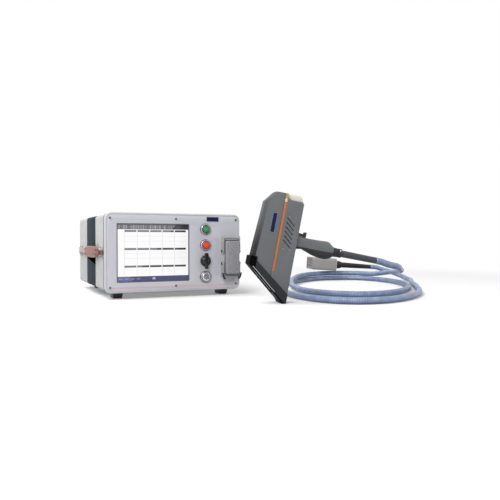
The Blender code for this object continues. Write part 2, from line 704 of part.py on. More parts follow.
def make_buttons():
    """Two lit push buttons, a rotary selector, a steel push button and their contact blocks."""
    make_push_button("green_button", GREEN_Z, RING_D, CAP_D, CAP_PROUD, CAP_PRESS, CHROME, GREEN, CAP_CROWN)
    make_push_button("red_button", RED_Z, RING_D, CAP_D, CAP_PROUD, CAP_PRESS, CHROME, RED, CAP_CROWN)
    make_push_button("steel_button", STEEL_Z, STEEL_RING_D, STEEL_CAP_D, STEEL_PROUD, STEEL_PRESS, CHROME,
                     STEEL, STEEL_CROWN)

    place = (BUTTON_X, PANEL_FACE, KNOB_Z)
    bezel = turned("selector_bezel", ring_profile(RING_D, SELECTOR_RING_H, STEM_D + 2 * RUN), closed=True)
    spin(piece("selector_bezel", bezel, BLACK, UNIT, place, FACING))
    seat = SELECTOR_RING_H + GAP
    shaft = -(PANEL_T + BUSH_TAIL - GAP)
    profile = [(r * KNOB_D / 2, seat + h * KNOB_H) for r, h in KNOB_DOME]
    profile += [(STEM_D / 2, seat), (STEM_D / 2, shaft), (0.0, shaft)]
    knob = spin(piece("selector_knob", turned("selector_knob", profile), BLACK, UNIT, place, FACING))
    size = (KNOB_BAR_W, KNOB_BAR_H, KNOB_BAR_L)
    low = seat + KNOB_BAR_ROUND
    bm = box_bm(size, (0.0, -(low + KNOB_BAR_H / 2), 0.0), KNOB_BAR_W / 3)
    soften(bm, 1, -(low + KNOB_BAR_H), KNOB_BAR_ROUND)
    add(knob, "selector_bar", to_mesh(bm, "selector_bar"), place)

    start = PANEL_BACK + BUSH_TAIL + GAP
    centres = [(BUTTON_X, start + CONTACT_L / 2, z) for z in (GREEN_Z, RED_Z, KNOB_Z, STEEL_Z)]
    mesh = boxes("contact_blocks", (CONTACT_W, CONTACT_L, CONTACT_W), centres)
    blocks = piece("contact_blocks", mesh, BLACK, UNIT)
    size = (CARRIER_W, CONTACT_L / 2, GREEN_Z - STEEL_Z)
    centre = (BUTTON_X, start + CARRIER_BACK, (GREEN_Z + STEEL_Z) / 2)
    add(blocks, "contact_carrier", box("contact_carrier", size, centre))


def tapered_link(radius, end_radius, length, side):
    """A flat link's outline: two round ends joined by straight edges, along +Y or -Y of the outline."""
    lean = math.asin((radius - end_radius) / length)
    points = []
    for centre, size, first, last in ((0.0, radius, math.pi - lean, 2 * math.pi + lean),
                                      (length, end_radius, lean, math.pi - lean)):
        for step in range(LINK_STEPS + 1):
            angle = first + (last - first) * step / LINK_STEPS
            points.append((size * math.cos(angle), side * (centre + size * math.sin(angle))))
    return points


def make_connector():
    """Flanged housing with insert, seal and cover, and two locking levers on pegs."""
    middle = (CONNECTOR_X, 0.0, CONNECTOR_Z)
    seat = PANEL_FACE - GAP
    size = (FLANGE_W, FLANGE_T, FLANGE_H)
    flange = box("connector_housing", size, (0.0, seat - FLANGE_T / 2, 0.0), COLLAR_WALL)
    housing = piece("connector_housing", flange, DIECAST, UNIT, middle)
    end = PANEL_FACE - COLLAR_END
    add(housing, "collar", span("collar", (-COLLAR_W / 2, end, -COLLAR_H / 2),
                                (COLLAR_W / 2, seat - FLANGE_T / 2, COLLAR_H / 2), COLLAR_WALL), middle)
    reach = COLLAR_W / 2 + LEVER_PLAY + LEVER_T + LEVER_PLAY
    peg_y = PANEL_FACE - PEG_OUT
    pegs = rods("lever_pegs", PEG_D, 2 * reach, [(0.0, peg_y, -PEG_OFF), (0.0, peg_y, PEG_OFF)], 'X')
    add(housing, "lever_pegs", pegs, middle)
    bore = box("collar_bore", (BORE_W, 4 * COLLAR_END, BORE_H), (0.0, 0.0, 0.0), COLLAR_WALL)
    cut(housing, "collar_bore", bore, middle)

    face = end + INSERT_IN
    core = span("connector_insert", (-BORE_W / 2 + GAP, face, -BORE_H / 2 + GAP),
                (BORE_W / 2 - GAP, PANEL_BACK + INSERT_TAIL, BORE_H / 2 - GAP), COLLAR_WALL)
    piece("connector_insert", core, BLACK, UNIT, middle)

    loops = [rounded(SEAL_W, SEAL_H, COLLAR_WALL), rounded(BORE_W, BORE_H, COLLAR_WALL)]
    back = end - GAP
    ring = between("connector_seal", loops, 'front', back - SEAL_T, back)
    piece("connector_seal", ring, RUBBER, UNIT, middle)

    back -= SEAL_T + GAP
    bm = box_bm((COVER_W, COVER_T, COVER_H), (0.0, back - COVER_T / 2, 0.0), COVER_ROUND)
    soften(bm, 1, back - COVER_T, COVER_EDGE)
    piece("connector_cover", to_mesh(bm, "connector_cover"), DIECAST, UNIT, middle)

    arm_x = COLLAR_W / 2 + LEVER_PLAY + LEVER_T / 2
    for name, side in (("upper_lever", 1), ("lower_lever", -1)):
        pivot = (CONNECTOR_X, peg_y, CONNECTOR_Z + side * PEG_OFF)
        loops = [tapered_link(LEVER_PIVOT_R, LEVER_END_R, LEVER_R, side), circle(PEG_D + 2 * RUN, segments=16)]
        bm = bmesh.new()
        for x in (-arm_x, arm_x):
            bm.from_mesh(outline(name, loops, 'side', x, LEVER_T))
        lever = piece(name, to_mesh(bm, name), STEEL, UNIT, pivot)
        size = (2 * arm_x + LEVER_T / 2, LEVER_BAR_W, LEVER_BAR_T)
        bar = box(f"{name}_bar", size, (0.0, 0.0, side * LEVER_R), LEVER_BAR_ROUND, 0)
        add(lever, f"{name}_bar", bar, pivot)


def strap_off(y):
    """How far the strap's middle line stands off the case, along the case."""
    front = STRAP_FRONT + BRACKET_LOOP_L / 2
    rear = UNIT_D - STRAP_REAR - BRACKET_LOOP_L / 2
    along = (2 * y - front - rear) / (rear - front)
    return STRAP_OFF + STRAP_BOW * (1 - along * along)


def bowed_bar(name, start, end, height, end_height, thickness):
    """A strap's length, bowed off the case and lower at its ends."""
    bar = box_bm((thickness, end - start, height), (0.0, (start + end) / 2, 0.0))
    along = [e for e in bar.edges if abs(e.verts[0].co.y - e.verts[1].co.y) > NEAR]
    bmesh.ops.subdivide_edges(bar, edges=along, cuts=STRAP_CUTS, use_grid_fill=True)
    for vert in bar.verts:
        inside = min((vert.co.y - start) / GRIP_TAPER_L, (end - vert.co.y) / GRIP_TAPER_L, 1.0)
        vert.co.z *= (end_height + (height - end_height) * inside) / height
        vert.co.x += CASE_SIDE - strap_off(vert.co.y)
        vert.co.z += BOTTOM + STRAP_Z
    return to_mesh(bar, name)


def make_strap():
    """Leather grip, narrow ends and two brackets on the unit's left side."""
    front = STRAP_FRONT
    rear = UNIT_D - STRAP_REAR
    for name, y in (("strap_bracket_front", front), ("strap_bracket_rear", rear)):
        z = BOTTOM + STRAP_Z
        seat = CASE_SIDE - GAP
        size = (BRACKET_T, BRACKET_L, BRACKET_H)
        bracket = piece(name, box(name, size, (seat - BRACKET_T / 2, y, z), BRACKET_L / 4, 0), STEEL, UNIT)
        low = (seat - BRACKET_LOOP_T, y - BRACKET_LOOP_L / 2, z - BRACKET_LOOP_H / 2)
        high = (seat - BRACKET_T / 2, y + BRACKET_LOOP_L / 2, z + BRACKET_LOOP_H / 2)
        add(bracket, f"{name}_loop", span(f"{name}_loop", low, high, BRACKET_T, 2))
    grip = (GRIP_FRONT, UNIT_D - GRIP_REAR)
    bar = bowed_bar("strap_grip", *grip, GRIP_H, GRIP_END_H, GRIP_T)
    rounding = piece("strap_grip", bar, LEATHER, UNIT).modifiers.new("Rounded", 'BEVEL')
    rounding.width = GRIP_ROUND
    rounding.segments = 2
    rounding.limit_method = 'ANGLE'
    for name, start, end in (("strap_end_front", front + BRACKET_LOOP_L / 2 + GAP, grip[0] - GAP),
                             ("strap_end_rear", grip[1] + GAP, rear - BRACKET_LOOP_L / 2 - GAP)):
        piece(name, bowed_bar(name, start, end, STRAP_END_H, STRAP_END_H, STRAP_END_T), LEATHER_DARK, UNIT)


def make_inside():
    """Chassis tray with the power supply, main board and signal module on it."""
    width = INNER_W - 2 * INNER_R
    low = INNER_BOTTOM + GAP
    half = width / 2
    loop = [(-half, low), (half, low), (half, low + TRAY_LIP), (half - TRAY_T, low + TRAY_LIP),
            (half - TRAY_T, low + TRAY_T), (-half + TRAY_T, low + TRAY_T), (-half + TRAY_T, low + TRAY_LIP),
            (-half, low + TRAY_LIP)]
    piece("chassis_tray", between("chassis_tray", [loop], 'front', TRAY_FRONT, UNIT_D - TRAY_REAR), TIN, UNIT)
    deck = low + TRAY_T + GAP
    left = -half + TRAY_T + INSIDE_SPACE
    front = TRAY_FRONT + INSIDE_SPACE
    w, d, h = SUPPLY_SIZE
    piece("power_supply", span("power_supply", (left, front, deck), (left + w, front + d, deck + h)), TIN, UNIT)

    bx = left + w + INSIDE_SPACE
    w, d, t = BOARD_SIZE
    under = deck + BOARD_LIFT
    sheet = span("main_board", (bx, front, under), (bx + w, front + d, under + t))
    board = piece("main_board", sheet, BOARD, UNIT)
    corners = [(bx + fx, front + fy, deck + (BOARD_LIFT + t / 2) / 2)
               for fx in (STANDOFF_IN, w - STANDOFF_IN) for fy in (STANDOFF_IN, d - STANDOFF_IN)]
    add(board, "standoffs", rods("standoffs", STANDOFF_D, BOARD_LIFT + t / 2, corners, segments=8))
    hw, hd, hh = HEATSINK_SIZE
    add(board, "heatsink", span("heatsink", (bx + w / 2 - hw / 2, front + d / 2 - hd / 2, under + t / 2),
                                (bx + w / 2 + hw / 2, front + d / 2 + hd / 2, under + hh)))
    sy = front + d + INSIDE_SPACE
    w, d, h = SIGNAL_SIZE
    piece("signal_module", span("signal_module", (bx, sy, deck), (bx + w, sy + d, deck + h)), STEEL, UNIT)


def make_fan():
    """Fan frame with its hub pin, rotor and a stamped guard on the rear panel."""
    back = REAR_PANEL_FRONT - GAP
    loops = [rounded(FAN_SIZE, FAN_SIZE, FAN_STRUT_W, (FAN_X, MID_Z)), circle(FAN_BORE_D, (FAN_X, MID_Z), 32)]
    frame = piece("fan_frame", between("fan_frame", loops, 'front', back - FAN_T, back), BLACK, UNIT)
    reach = (FAN_SIZE + FAN_BORE_D) / 2
    for name, size in (("fan_strut_across", (reach, FAN_STRUT_T, FAN_STRUT_W)),
                       ("fan_strut_up", (FAN_STRUT_W, FAN_STRUT_T, reach))):
        add(frame, name, box(name, size, (FAN_X, back - FAN_STRUT_T / 2 - GAP, MID_Z)))
    plate = back - FAN_STRUT_T - GAP
    rotor_back = plate - GAP
    rotor_front = back - FAN_T + 2 * GAP
    root = plate + FAN_STRUT_T / 2
    pin = rods("fan_pin", FAN_PIN_D, root - rotor_front, [(FAN_X, (rotor_front + root) / 2, MID_Z)], 'Y', 12)
    add(frame, "fan_pin", pin)

    depth = rotor_back - rotor_front
    middle = (FAN_X, rotor_back - depth / 2, MID_Z)
    loops = [circle(FAN_HUB_D), circle(FAN_PIN_D + 2 * RUN, segments=12)]
    rotor = piece("fan_rotor", outline("fan_rotor", loops, 'front', 0.0, depth), BLACK, UNIT, middle)
    inner = FAN_HUB_D / 2 - BLADE_T
    tip = FAN_BORE_D / 2 - BLADE_TIP
    bm = bmesh.new()
    for blade in range(BLADE_COUNT):
        made = bmesh.ops.create_cube(bm, size=1.0)
        verts = made["verts"]
        bmesh.ops.scale(bm, vec=(tip - inner, depth * BLADE_DEEP, BLADE_T), verts=verts)
        bmesh.ops.rotate(bm, verts=verts, matrix=Matrix.Rotation(BLADE_PITCH, 3, 'X'))
        bmesh.ops.translate(bm, vec=((tip + inner) / 2, 0.0, 0.0), verts=verts)
        bmesh.ops.rotate(bm, verts=verts, matrix=Matrix.Rotation(2 * math.pi * blade / BLADE_COUNT, 3, 'Y'))
    add(rotor, "fan_blades", to_mesh(bm, "fan_blades"), middle)

    loops = [circle(GUARD_D, (FAN_X, MID_Z), 32)]
    pitch = (FAN_BORE_D - FAN_HUB_D) / 2 / GUARD_RINGS
    for ring in range(GUARD_RINGS):
        inner = FAN_HUB_D / 2 + ring * pitch + GUARD_WEB / 2
        outer = inner + pitch - GUARD_WEB
        for arm in range(4):
            ends = [math.pi / 2 * arm + GUARD_WEB / inner, math.pi / 2 * (arm + 1) - GUARD_WEB / inner]
            steps = [ends[0] + (ends[1] - ends[0]) * i / 5 for i in range(6)]
            arc = [(outer * math.cos(a), outer * math.sin(a)) for a in steps]
            arc += [(inner * math.cos(a), inner * math.sin(a)) for a in reversed(steps)]
            loops.append([(FAN_X + x, MID_Z + z) for x, z in arc])
    start = REAR_PANEL_BACK + GAP
    piece("fan_guard", between("fan_guard", loops, 'front', start, start + GUARD_T), STEEL, UNIT)


def make_inlet():
    """Mains inlet with its socket and pins, and the power rocker above them."""
    middle = (INLET_X, 0.0, MID_Z)
    seat = REAR_PANEL_BACK + GAP
    face = seat + INLET_FLANGE_T
    w, h = INLET_FLANGE
    inlet = piece("power_inlet", span("power_inlet", (-w / 2, seat, -h / 2), (w / 2, face, h / 2), GASKET_W),
                  BLACK, UNIT, middle)
    w, h = INLET_BODY
    add(inlet, "inlet_body", span("inlet_body", (-w / 2, face - INLET_DEPTH, -h / 2),
                                  (w / 2, face - INLET_FLANGE_T / 2, h / 2), GASKET_W), middle)
    w, h = SOCKET_SIZE
    floor = face - SOCKET_DEPTH
    cut(inlet, "socket", span("socket", (-w / 2, floor, -SOCKET_OFF - h / 2),
                              (w / 2, face + GAP, -SOCKET_OFF + h / 2), COLLAR_WALL), middle)
    pw, pl, ph = SOCKET_PIN
    pins = [(x, floor + pl / 2 - GAP, -SOCKET_OFF + z)
            for x, z in ((-SOCKET_PIN_PITCH, ph / 4), (0.0, -ph / 4), (SOCKET_PIN_PITCH, ph / 4))]
    add(inlet, "socket_pins", boxes("socket_pins", (pw, pl + 2 * GAP, ph), pins), middle)
    w, h = ROCKER_SIZE
    side, tall = w / 2 + RUN, h / 2 + 2 * RUN
    low, high = (-side, face - ROCKER_T, ROCKER_OFF - tall), (side, face + GAP, ROCKER_OFF + tall)
    cut(inlet, "rocker_pocket", span("rocker_pocket", low, high), middle)
    pivot = (INLET_X, face - ROCKER_T / 3, MID_Z + ROCKER_OFF)
    rise = h / 2 * math.tan(ROCKER_TILT)
    loop = [(ROCKER_T / 3 + rise, h / 2), (ROCKER_T / 3, 0.0), (ROCKER_T / 3 + rise, -h / 2),
            (-ROCKER_T / 6, -h / 2 + RUN), (-ROCKER_T / 3, 0.0), (-ROCKER_T / 6, h / 2 - RUN)]
    piece("power_rocker", outline("power_rocker", [loop], 'side', 0.0, w), BLACK, UNIT, pivot,
          (ROCKER_TILT, 0.0, 0.0))


# Probe: lines that pieces share

REAR_TOP = FRONT_TOP - REAR_DROP
BAND_FRONT = BAND_X - BAND_W / 2
BAND_REAR = BAND_X + BAND_W / 2
HEEL_Z = PROBE_REAR * math.tan(PROBE_LEAN)
NOSE_FOOT = PROBE_FRONT - NOSE_FLARE


def low_line(x):
    """Height of the body's lower edge."""
    return LOW_REAR + (PROBE_REAR - x) * math.tan(SLOPE)


def probe_outline(name, loop, width):
    """A side outline of the probe, made thick about its middle plane."""
    return outline(name, [loop], 'front', 0.0, width)


def front_loop(inset, gap):
    """Front shell's side outline, or the hollow inside it."""
    foot = NOSE_FOOT + inset
    x1 = BAND_FRONT - gap + (0.0 if inset <= 0 else 2 * BAND_W)
    top = FRONT_TOP - inset
    low = GAP / math.cos(SLOPE) if inset <= 0 else -2 * SKIRT_DEPTH
    return [(x1, low_line(x1) + low), (x1, top), (PROBE_FRONT + NOSE_TOP_L + inset / 2, top),
            (PROBE_FRONT + inset, FRONT_TOP - NOSE_DROP - inset / 2), (foot, low_line(foot) + low)]


def rear_loop(inset, gap):
    """Rear shell's side outline, or the hollow inside it."""
    x0 = BAND_REAR + gap - (0.0 if inset <= 0 else 2 * BAND_W)
    x1 = PROBE_REAR - inset
    top = REAR_TOP - inset
    low = GAP / math.cos(SLOPE) if inset <= 0 else -2 * SKIRT_DEPTH
    return [(x0, low_line(x0) + low), (x1, low_line(x1) + low), (x1, top - REAR_ROUND), (x1 - REAR_ROUND, top),
            (x0, top)]


def along_slope(along, out):
    """A point on the skirt: along its slope from the rear, and out past its top face."""
    return (PROBE_REAR - along * math.cos(SLOPE) - out * math.sin(SLOPE),
            LOW_REAR + along * math.sin(SLOPE) - out * math.cos(SLOPE))


def slope_box(name, length, width, along, start, end):
    """A box on the skirt's slope, from one depth to another below its top face."""
    x, z = along_slope(along, (start + end) / 2)
    bm = box_bm((length, width, end - start), (0.0, 0.0, 0.0))
    bmesh.ops.rotate(bm, verts=bm.verts, matrix=Matrix.Rotation(SLOPE, 3, 'Y'))
    bmesh.ops.translate(bm, vec=(x, 0.0, z), verts=bm.verts)
    return to_mesh(bm, name)


def make_probe_body():
    """Two hollow shells with a band between them, on a skirt with a window."""
    half = PROBE_T / 2
    bm = bmesh.new()
    bm.from_mesh(probe_outline("probe_front_shell", front_loop(0.0, GAP), PROBE_T))
    nose = [e for e in bm.edges if abs(abs(e.verts[0].co.y) - half) < NEAR
            and abs(e.verts[0].co.y - e.verts[1].co.y) < NEAR
            and max(v.co.x for v in e.verts) < PROBE_FRONT + NOSE_TOP_L + NEAR]
    bmesh.ops.bevel(bm, geom=nose, offset=NOSE_CHAMFER, segments=1, profile=0.5, affect='EDGES')
    front = piece("probe_front_shell", to_mesh(bm, "probe_front_shell"), SHELL_GREY, PROBE)
    hollow = PROBE_T - 2 * PROBE_WALL
    loop = front_loop(PROBE_WALL + NOSE_CHAMFER / 2, GAP)
    cut(front, "front_hollow", probe_outline("front_hollow", loop, hollow))

    bm = bmesh.new()
    bm.from_mesh(probe_outline("probe_rear_shell", rear_loop(0.0, GAP), PROBE_T))
    edges = [e for e in bm.edges if abs(e.verts[0].co.y - e.verts[1].co.y) < NEAR
             and (min(v.co.z for v in e.verts) > REAR_TOP - 2 * REAR_ROUND
                  or min(v.co.x for v in e.verts) > PROBE_REAR - REAR_ROUND)
             and min(v.co.z for v in e.verts) > LOW_REAR + REAR_ROUND]
    bmesh.ops.bevel(bm, geom=edges, offset=SHELL_ROUND, segments=2, profile=0.5, affect='EDGES')
    rear = piece("probe_rear_shell", to_mesh(bm, "probe_rear_shell"), SHELL_GREY, PROBE)
    cut(rear, "rear_hollow", probe_outline("rear_hollow", rear_loop(PROBE_WALL, GAP), hollow))
    bm = bmesh.new()
    for i in range(VENT_COUNT):
        slot = box("vent", (VENT_L, 2 * PROBE_T, VENT_W), (0.0, 0.0, 0.0), VENT_ROUND)
        middle = Matrix.Translation((VENT_X, 0.0, VENT_LOW + i * VENT_PITCH))
        slot.transform(middle @ Matrix.Rotation(VENT_SLOPE, 4, 'Y'))
        bm.from_mesh(slot)
    cut(rear, "vents", to_mesh(bm, "vents"))

    wide = PROBE_T + 2 * BAND_PROUD
    ends = (BAND_FRONT, BAND_REAR)
    loop = [(ends[1], low_line(ends[1]) + GAP / math.cos(SLOPE)), (ends[1], FRONT_TOP + BAND_PROUD),
            (ends[0], FRONT_TOP + BAND_PROUD), (ends[0], low_line(ends[0]) + GAP / math.cos(SLOPE))]
    band = piece("probe_band", probe_outline("probe_band", loop, wide), ORANGE, PROBE)
    cut(band, "band_hollow", span("band_hollow", (BAND_FRONT - BAND_W, -hollow / 2, 0.0),
                                  (BAND_REAR + BAND_W, hollow / 2, REAR_TOP - PROBE_WALL)))


def make_skirt():
    """Skirt under the body, its window and the optical module that stands on it."""
    length = (PROBE_REAR - PROBE_FRONT) / math.cos(SLOPE)
    lip_top = low_line(NOSE_FOOT) + SKIRT_LIP_RISE
    lip_front = NOSE_FOOT - SKIRT_LIP
    lip_back = lip_front + SKIRT_LIP_L
    heel = PROBE_REAR - HEEL_L
    loop = [(PROBE_REAR, HEEL_Z), (PROBE_REAR, LOW_REAR), (lip_back, low_line(lip_back)), (lip_back, lip_top),
            (lip_front, lip_top), (lip_front, lip_top - SKIRT_LIP_H), (PROBE_REAR - SKIRT_TOE[0], SKIRT_TOE[1]),
            (heel, heel * math.tan(PROBE_LEAN))]
    skirt = piece("probe_skirt", probe_outline("probe_skirt", loop, SKIRT_W), RUBBER, PROBE)
    seat = probe_outline("nose_seat", front_loop(-GAP, GAP), PROBE_T + 2 * GAP)
    cut(skirt, "nose_seat", seat)
    middle = length / 2 + HEEL_L / 4
    cut(skirt, "aperture", slope_box("aperture", WINDOW_L, WINDOW_W, middle, -SKIRT_DEPTH, 2 * SKIRT_DEPTH))
    low = SKIRT_DEPTH - WINDOW_IN
    window = slope_box("probe_window", WINDOW_L - 2 * GAP, WINDOW_W - 2 * GAP, middle, low - WINDOW_T, low)
    piece("probe_window", window, GLASS, PROBE)
    module = slope_box("optical_module", MODULE_L, MODULE_W, middle, -MODULE_H - GAP, -GAP)
    piece("optical_module", module, DARK_STEEL, PROBE)


def make_cap():
    """Cream block on the rear shell's top."""
    length, width, height = CAP_BLOCK
    x0 = BAND_REAR + 2 * GAP
    low = REAR_TOP + GAP
    loop = [(x0, low), (x0 + length, low), (x0 + length - CAP_BLOCK_TAPER, low + height), (x0, low + height)]
    bm = bmesh.new()
    bm.from_mesh(probe_outline("probe_cap", loop, width))
    soften(bm, 1, -width / 2, SHELL_ROUND)
    soften(bm, 1, width / 2, SHELL_ROUND)
    piece("probe_cap", to_mesh(bm, "probe_cap"), CREAM, PROBE)


def handle_loft():
    """Handle sections joined into one closed body."""
    start = PROBE_REAR + GAP
    bm = bmesh.new()
    rings = []
    for along, low, high, half in HANDLE_SECTIONS:
        x = start + along * (HANDLE_END - start)
        ring = []
        for i in range(HANDLE_SIDES):
            angle = 2 * math.pi * i / HANDLE_SIDES
            across = math.copysign(abs(math.cos(angle)) ** HANDLE_SQUARE, math.cos(angle))
            up = math.copysign(abs(math.sin(angle)) ** HANDLE_SQUARE, math.sin(angle))
            ring.append(bm.verts.new((x, half * across, (low + high) / 2 + (high - low) / 2 * up)))
        rings.append(ring)
    for one, two in zip(rings, rings[1:]):
        for i in range(HANDLE_SIDES):
            j = (i + 1) % HANDLE_SIDES
            bm.faces.new((one[i], one[j], two[j], two[i]))
    bm.faces.new(rings[0])
    bm.faces.new(rings[-1])
    bmesh.ops.recalc_face_normals(bm, faces=bm.faces)
    return bm


def make_handle():
    """Handle shell and grip, trigger, collar and gland nut."""
    start = PROBE_REAR + GAP
    run = HANDLE_END - start
    rise = HANDLE_SPLIT[1] - HANDLE_SPLIT[0]
    normal = Vector((-rise, 0.0, run)).normalized()
    for name, paint, side in (("handle_shell", SHELL_GREY, 1), ("handle_grip", CHARCOAL, -1)):
        bm = handle_loft()
        at = Vector((start, 0.0, HANDLE_SPLIT[0])) + normal * side * GAP / 2
        sliced = bmesh.ops.bisect_plane(bm, geom=bm.verts[:] + bm.edges[:] + bm.faces[:], plane_co=at,
                                        plane_no=normal * -side, clear_outer=True)
        rim = [e for e in sliced["geom_cut"] if isinstance(e, bmesh.types.BMEdge)]
        bmesh.ops.contextual_create(bm, geom=rim)
        half = piece(name, to_mesh(bm, name), paint, PROBE)
        if side > 0:
            deep = TRIGGER_DEEP + TRIGGER_L * math.sin(TRIGGER_SWING) + RUN
            pocket = span("trigger_pocket", (start - GAP, -TRIGGER_W / 2 - RUN, TRIGGER_PIVOT_Z - deep),
                          (TRIGGER_ROOT + TRIGGER_L + 2 * RUN, TRIGGER_W / 2 + RUN, TRIGGER_TOP))
            cut(half, "trigger_pocket", pocket)
    pivot = (TRIGGER_ROOT, 0.0, TRIGGER_PIVOT_Z)
    rise = TRIGGER_TOP - TRIGGER_PIVOT_Z
    lug = TRIGGER_ROOT - PROBE_REAR - 2 * GAP
    foot, front, back = (share * TRIGGER_L for share in TRIGGER_HOOK)
    loop = [(-lug, lug / 2), (0.0, rise - TRIGGER_STEP), (foot, rise - TRIGGER_STEP - lug), (front, rise),
            (back, rise), (TRIGGER_L, rise - TRIGGER_STEP / 2), (TRIGGER_L - RUN, -TRIGGER_DEEP),
            (0.0, -TRIGGER_DEEP), (-lug, -lug / 2)]
    piece("trigger", outline("trigger", [loop], 'front', 0.0, TRIGGER_W), BLACK, PROBE, pivot)

    at = HANDLE_END + GAP
    r = COLLAR_D / 2
    profile = [(0.0, HANDLE_COLLAR_L), (r - RUN, HANDLE_COLLAR_L), (r, HANDLE_COLLAR_L / 2),
               (r * COLLAR_FLARE, 0.0), (0.0, 0.0)]
    collar = turned("handle_collar", profile)
    spin(piece("handle_collar", collar, CHARCOAL, PROBE, (at, 0.0, HANDLE_AXIS), BACK))
    at += HANDLE_COLLAR_L + GAP
    bm = bmesh.new()
    bmesh.ops.create_cone(bm, cap_ends=True, segments=6, radius1=NUT_D / 2, radius2=NUT_D / 2, depth=NUT_L)
    bmesh.ops.translate(bm, vec=(0.0, 0.0, NUT_L / 2), verts=bm.verts)
    nut = piece("gland_nut", to_mesh(bm, "gland_nut"), BLACK, PROBE, (at, 0.0, HANDLE_AXIS), BACK)
    bm = bmesh.new()
    nose = NUT_NOSE_L + NUT_L / 2
    bmesh.ops.create_cone(bm, cap_ends=True, segments=TURN_STEPS, radius1=NUT_NOSE_D / 2,
                          radius2=BOOT_D / 2, depth=nose)
    bmesh.ops.translate(bm, vec=(0.0, 0.0, NUT_L / 2 + nose / 2), verts=bm.verts)
    add(nut, "gland_nose", to_mesh(bm, "gland_nose"), (at, 0.0, HANDLE_AXIS), BACK)
    return at + NUT_L + NUT_NOSE_L + GAP


def make_boot(name, parent, place, length, root_d, tip_d, paint, facing):
    """A tapered strain relief, from its root to the hose."""
    r, tip = root_d / 2, tip_d / 2
    profile = [(0.0, length), (tip - RUN, length), (tip, length - 2 * RUN), (r, length * BOOT_ROOT), (r, 0.0),
               (0.0, 0.0)]
    spin(piece(name, turned(name, profile), paint, parent, place, facing))


# Hose

def coil_point(degrees):
    """A point of the hose's coil: an oval spiral whose far side stays in place as its turns grow."""
    turn = (degrees - 90) / 360
    wide = COIL_HALF_W + COIL_GROW_W * turn
    long = COIL_HALF_L + COIL_GROW_L * turn
    angle = math.radians(degrees)
    across = wide * math.cos(angle)
    along = long * math.sin(angle) - COIL_GROW_L * turn
    down = min(max((degrees - CLIMB[0]) / (CLIMB[1] - CLIMB[0]), 0.0), 1.0)
    layer = LAYER * (1 - down * down * (3 - 2 * down))
    return (COIL_CENTRE[0] + across * math.cos(COIL_TURN) - along * math.sin(COIL_TURN),
            COIL_CENTRE[1] + across * math.sin(COIL_TURN) + along * math.cos(COIL_TURN),
            HOSE_D / 2 + FLOOR_LIFT + layer)


def smooth_through(points, steps):
    """A natural cubic spline through the points, with so many steps to each span."""
    pts = np.array(points, float)
    chord = np.linalg.norm(np.diff(pts, axis=0), axis=1)
    count = len(pts)
    matrix = np.eye(count)
    right = np.zeros((count, 3))
    for i in range(1, count - 1):
        matrix[i, i - 1:i + 2] = chord[i - 1], 2 * (chord[i - 1] + chord[i]), chord[i]
        right[i] = 6 * ((pts[i + 1] - pts[i]) / chord[i] - (pts[i] - pts[i - 1]) / chord[i - 1])
    bend = np.linalg.solve(matrix, right)
    route = []
    for i, h in enumerate(chord):
        for step in range(steps[i]):
            t = h * step / steps[i]
            s = h - t
            route.append(bend[i] * s ** 3 / (6 * h) + bend[i + 1] * t ** 3 / (6 * h)
                         + (pts[i] / h - bend[i] * h / 6) * s + (pts[i + 1] / h - bend[i + 1] * h / 6) * t)
    route.append(pts[-1])
    return np.array(route)


def least_gap(route):
    """The least distance between parts of the hose that aren't neighbours, less its diameter."""
    run = np.concatenate(([0.0], np.cumsum(np.linalg.norm(np.diff(route, axis=0), axis=1))))
    apart = np.linalg.norm(route[:, None] - route[None], axis=2)
    apart[np.abs(run[:, None] - run[None]) < HOSE_APART * HOSE_D] = np.inf
    return apart.min() - HOSE_D, run[-1]


def make_hose(boot_end):
    """One unbroken tube: out of the probe's boot, round the coil and into the plug's boot."""
    bpy.context.view_layer.update()
    leave = PROBE.matrix_world @ Vector((boot_end + GAP, 0.0, HANDLE_AXIS))
    away = PROBE.matrix_world.to_3x3() @ Vector((1.0, 0.0, 0.0))
    arrive = PLUG.matrix_world @ Vector((-GAP, 0.0, 0.0))
    into = PLUG.matrix_world.to_3x3() @ Vector((1.0, 0.0, 0.0))
    turns = range(COIL_FROM, COIL_TO + 1, 360 // LOOP_POINTS)
    points = [leave, leave + away * STRAIGHT_OUT, *LEAD_IN, *(coil_point(d) for d in turns), *LEAD_OUT,
              arrive - into * STRAIGHT_IN, arrive]
    fine = smooth_through(points, [8] * (len(points) - 1))
    gap, length = least_gap(fine)
    print(f"hose length {length:.3f} m, least gap to itself {gap * 1000:.2f} mm")
    lead, tail = len(LEAD_IN) + 2, len(LEAD_OUT) + 2
    steps = [2 if i < lead or i >= len(points) - 1 - tail else 1 for i in range(len(points) - 1)]
    route = smooth_through(points, steps)
    curve = bpy.data.curves.new("hose", 'CURVE')
    curve.dimensions = '3D'
    curve.bevel_depth = HOSE_D / 2
    curve.bevel_resolution = 1
    curve.use_fill_caps = True
    spline = curve.splines.new('POLY')
    spline.points.add(len(route) - 1)
    for point, place in zip(spline.points, route):
        point.co = (*place, 1.0)
    hose = bpy.data.objects.new("hose", curve)
    curve.materials.append(HOSE_BLUE)
    PARTS.objects.link(hose)


